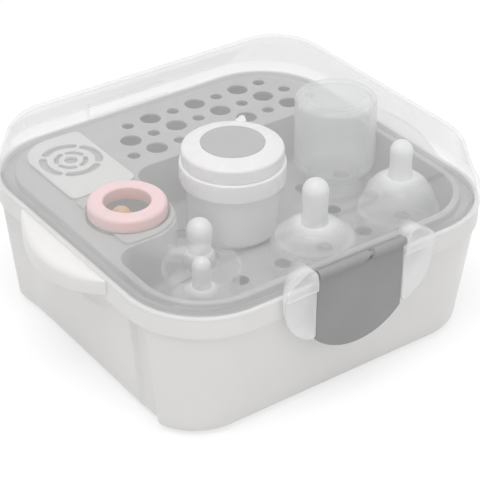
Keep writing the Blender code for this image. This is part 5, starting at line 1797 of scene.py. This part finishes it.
@dataclass(frozen=True)
class ScrewRing:
    """The pink screw ring on the small cup."""

    x: float = -0.0880
    y: float = 0.0020
    low: float = 0.1083
    height: float = 0.0100
    radius: float = 0.0275
    bore: float = 0.0163
    # how much painted shade the outer side gets; side_fade and top_fade set where it fades out
    side_painted_shade: float = 0.46
    side_fade: float = 0.0040
    top_fade: float = 0.0030
    bore_margin: float = 0.0016
    rounds: tuple[float, ...] = (0.0006, 0.0008, 0.0034, 0.0016)

    def build(self, paint: Paintshop) -> None:
        """Builds and dresses the ring, with painted shade in its attribute "depth": 1 in the bore, a share on
        the side.

        Args:
            paint: Makes the finishes' materials.
        """
        points = np.array([(self.bore, 0.0), (self.radius, 0.0), (self.radius, self.height),
                           (self.bore, self.height)])
        profile = rounded_path(points, np.array(self.rounds), steps=8)
        ring = thing("screw_ring_band", lathe(profile, self.x, self.y, self.low, count=96))
        points = points_of(ring.data)
        radius = np.hypot(points[:, 0] - self.x, points[:, 1] - self.y)
        # painted shade: the bore and the outer side get the darker pink, the top stays pale
        below = np.clip((self.low + self.height - points[:, 2]) / self.top_fade, 0, 1)
        side = np.clip((radius - self.radius + self.side_fade) / self.side_fade, 0, 1) * self.side_painted_shade
        mark(ring.data, "depth", below * np.maximum(side, radius < self.bore + self.bore_margin))
        paint.dress(ring, PINK, Body.TUB, "pink_screw_ring")


CUPS = (
    Cup("ring_cup", -0.0880, 0.0020, 0.0863, 0.0260, 0.0235, 0.0217, 0.0030, True),
    Cup("front_cup", -0.0730, -0.0650, 0.0653, 0.0270, 0.0245, 0.0300, 0.0040, True),
    Cup("tall_teat_hood", 0.0120, -0.0770, 0.0653, 0.0320, 0.0300, 0.0262, 0.0050, False),
    Cup("wide_teat_hood", 0.0895, -0.0735, 0.0653, 0.0315, 0.0295, 0.0205, 0.0050, False),
)
TEATS = (
    (Teat("latex_teat", -0.0950, -0.0010, 0.0881, 0.0115, 0.0100, 0.0090, 0.0075, 0.0280), LATEX),
    (Teat("front_teat", -0.0730, -0.0650, 0.0671, 0.0190, 0.0150, 0.0120, 0.0065, 0.0340), SILICONE),
    (Teat("short_teat", -0.0490, -0.0270, 0.0653, 0.0149, 0.0125, 0.0130, 0.0092, 0.0380), SILICONE),
    (Teat("tall_teat", 0.0120, -0.0770, 0.0918, 0.0275, 0.0240, 0.0130, 0.0092, 0.0465), SILICONE),
    (Teat("wide_teat", 0.0895, -0.0735, 0.0861, 0.0290, 0.0270, 0.0270, 0.0080, 0.0545), SILICONE),
)


class Load:
    """Everything that stands in the rack."""

    def build(self, paint: Paintshop) -> None:
        """Builds and dresses the load.

        Args:
            paint: Makes the finishes' materials.
        """
        for piece in (Jar(), Bottle(), ScrewRing()):
            piece.build(paint)
        for cup in CUPS:
            cup.build(paint, CUP_CLEAR)
        for teat, finish in TEATS:
            teat.build(paint, finish)


# Stage


def placement(right: Array, up: Array, back: Array, spot: Array) -> Matrix:
    """The matrix of something at spot whose own axes are right, up and back."""
    columns = np.column_stack([right, up, back, spot])
    return Matrix(np.vstack([columns, (0.0, 0.0, 0.0, 1.0)]).tolist())


@dataclass(frozen=True)
class Lamp:
    """A soft rectangular lamp."""

    name: str
    spot: tuple[float, float, float]
    wide: float
    tall: float
    power: float

    def build(self, aim: Array) -> None:
        """Puts the lamp at its spot, shining towards aim.

        Args:
            aim: The point that it shines at.
        """
        data = bpy.data.lights.new(self.name, "AREA")
        data.shape, data.size, data.size_y, data.energy = "RECTANGLE", self.wide, self.tall, self.power
        spot = np.array(self.spot)
        back = (spot - aim) / np.linalg.norm(spot - aim)
        right = np.cross((0.0, 0.0, 1.0), back)
        right /= np.linalg.norm(right)
        placed(self.name, data).matrix_world = placement(right, np.cross(back, right), back, spot)


@dataclass(frozen=True)
class Stage:
    """Camera, lamps, world and floor."""

    azimuth: float = -35.385
    elevation: float = 32.895
    distance: float = 1.2153
    focus: tuple[float, float, float] = (0.0, 0.0, 0.07)
    shift_right: float = 0.0036
    shift_up: float = -0.0138
    lens: float = 127.17
    sensor: float = 36.0
    clip: tuple[float, float] = (0.05, 50.0)
    world_light: float = 0.62
    floor_half: float = 3.0
    floor_drop: float = 0.0002
    floor_tone: float = 0.74
    floor_glow: float = 1.34
    glow_share: float = 0.48
    clear_bounces: int = 32
    lamps: tuple[Lamp, ...] = (Lamp("key", (-0.4, -0.4, 2.0), 1.3, 1.3, 21.0),
                               Lamp("side", (-1.7, -1.2, 0.8), 0.7, 0.7, 2.5),
                               Lamp("front", (1.1, -1.6, 0.8), 0.9, 0.8, 1.8))

    def camera(self) -> None:
        """Puts the camera at the photograph's viewing angle."""
        turn, tilt = math.radians(self.azimuth), math.radians(self.elevation)
        back = np.array((math.sin(turn) * math.cos(tilt), -math.cos(turn) * math.cos(tilt), math.sin(tilt)))
        right = np.array((math.cos(turn), math.sin(turn), 0.0))
        up = np.cross(back, right)
        aim = np.array(self.focus) + right * self.shift_right + up * self.shift_up
        data = bpy.data.cameras.new("camera")
        data.lens, data.sensor_width = self.lens, self.sensor
        data.clip_start, data.clip_end = self.clip
        camera = placed("camera", data)
        camera.matrix_world = placement(right, up, back, aim + back * self.distance)
        bpy.context.scene.camera = camera

    def world(self) -> None:
        """A pale world that lights softly and looks white to the camera, in gloss and through glass."""
        world = bpy.data.worlds.new("pale_world")
        nodes = Nodes.emptied(world)
        strength = nodes.add("MapRange", {"Value": nodes.seen(), "To Min": self.world_light, "To Max": 1.0})
        shade = nodes.add("Background", {"Color": WHITE_LIGHT, "Strength": strength.outputs["Result"]})
        nodes.add("OutputWorld", {"Surface": shade.outputs["Background"]})
        bpy.context.scene.world = world

    def floor(self) -> None:
        """A plain pale floor that keeps the object's soft shadow."""
        half, tone = self.floor_half, self.floor_tone
        corners = np.array([(-half, -half), (half, -half), (half, half), (-half, half)])
        points = np.insert(corners, 2, -self.floor_drop, axis=1)
        floor = thing("pale_floor", Shell(points, np.arange(4)[None]))
        material = bpy.data.materials.new("pale_floor")
        nodes = Nodes.emptied(material)
        matt = nodes.add("BsdfDiffuse", {"Color": (tone, tone, tone, 1.0)})
        glow = nodes.add("Emission", {"Color": WHITE_LIGHT, "Strength": self.floor_glow})
        mix = nodes.add("MixShader", {0: nodes.math("MULTIPLY", nodes.seen(), self.glow_share),
                                      1: matt.outputs["BSDF"], 2: glow.outputs["Emission"]})
        nodes.add("OutputMaterial", {"Surface": mix.outputs["Shader"]})
        floor.data.materials.append(material)

    def build(self) -> None:
        """Sets up everything round the object."""
        scene = bpy.context.scene
        scene.view_settings.view_transform = "Standard"
        scene.cycles.transparent_max_bounces = self.clear_bounces
        self.camera()
        self.world()
        self.floor()
        for lamp in self.lamps:
            lamp.build(np.array(self.focus))


def main() -> None:
    """Builds the stage, then each piece in order."""
    logging.basicConfig(level=logging.INFO)
    Stage().build()
    paint = Paintshop()
    for piece in (Tub(), Rack(), Tray(), Load(), Lid(), Latch()):
        piece.build(paint)


if __name__ == "__main__":
    main()
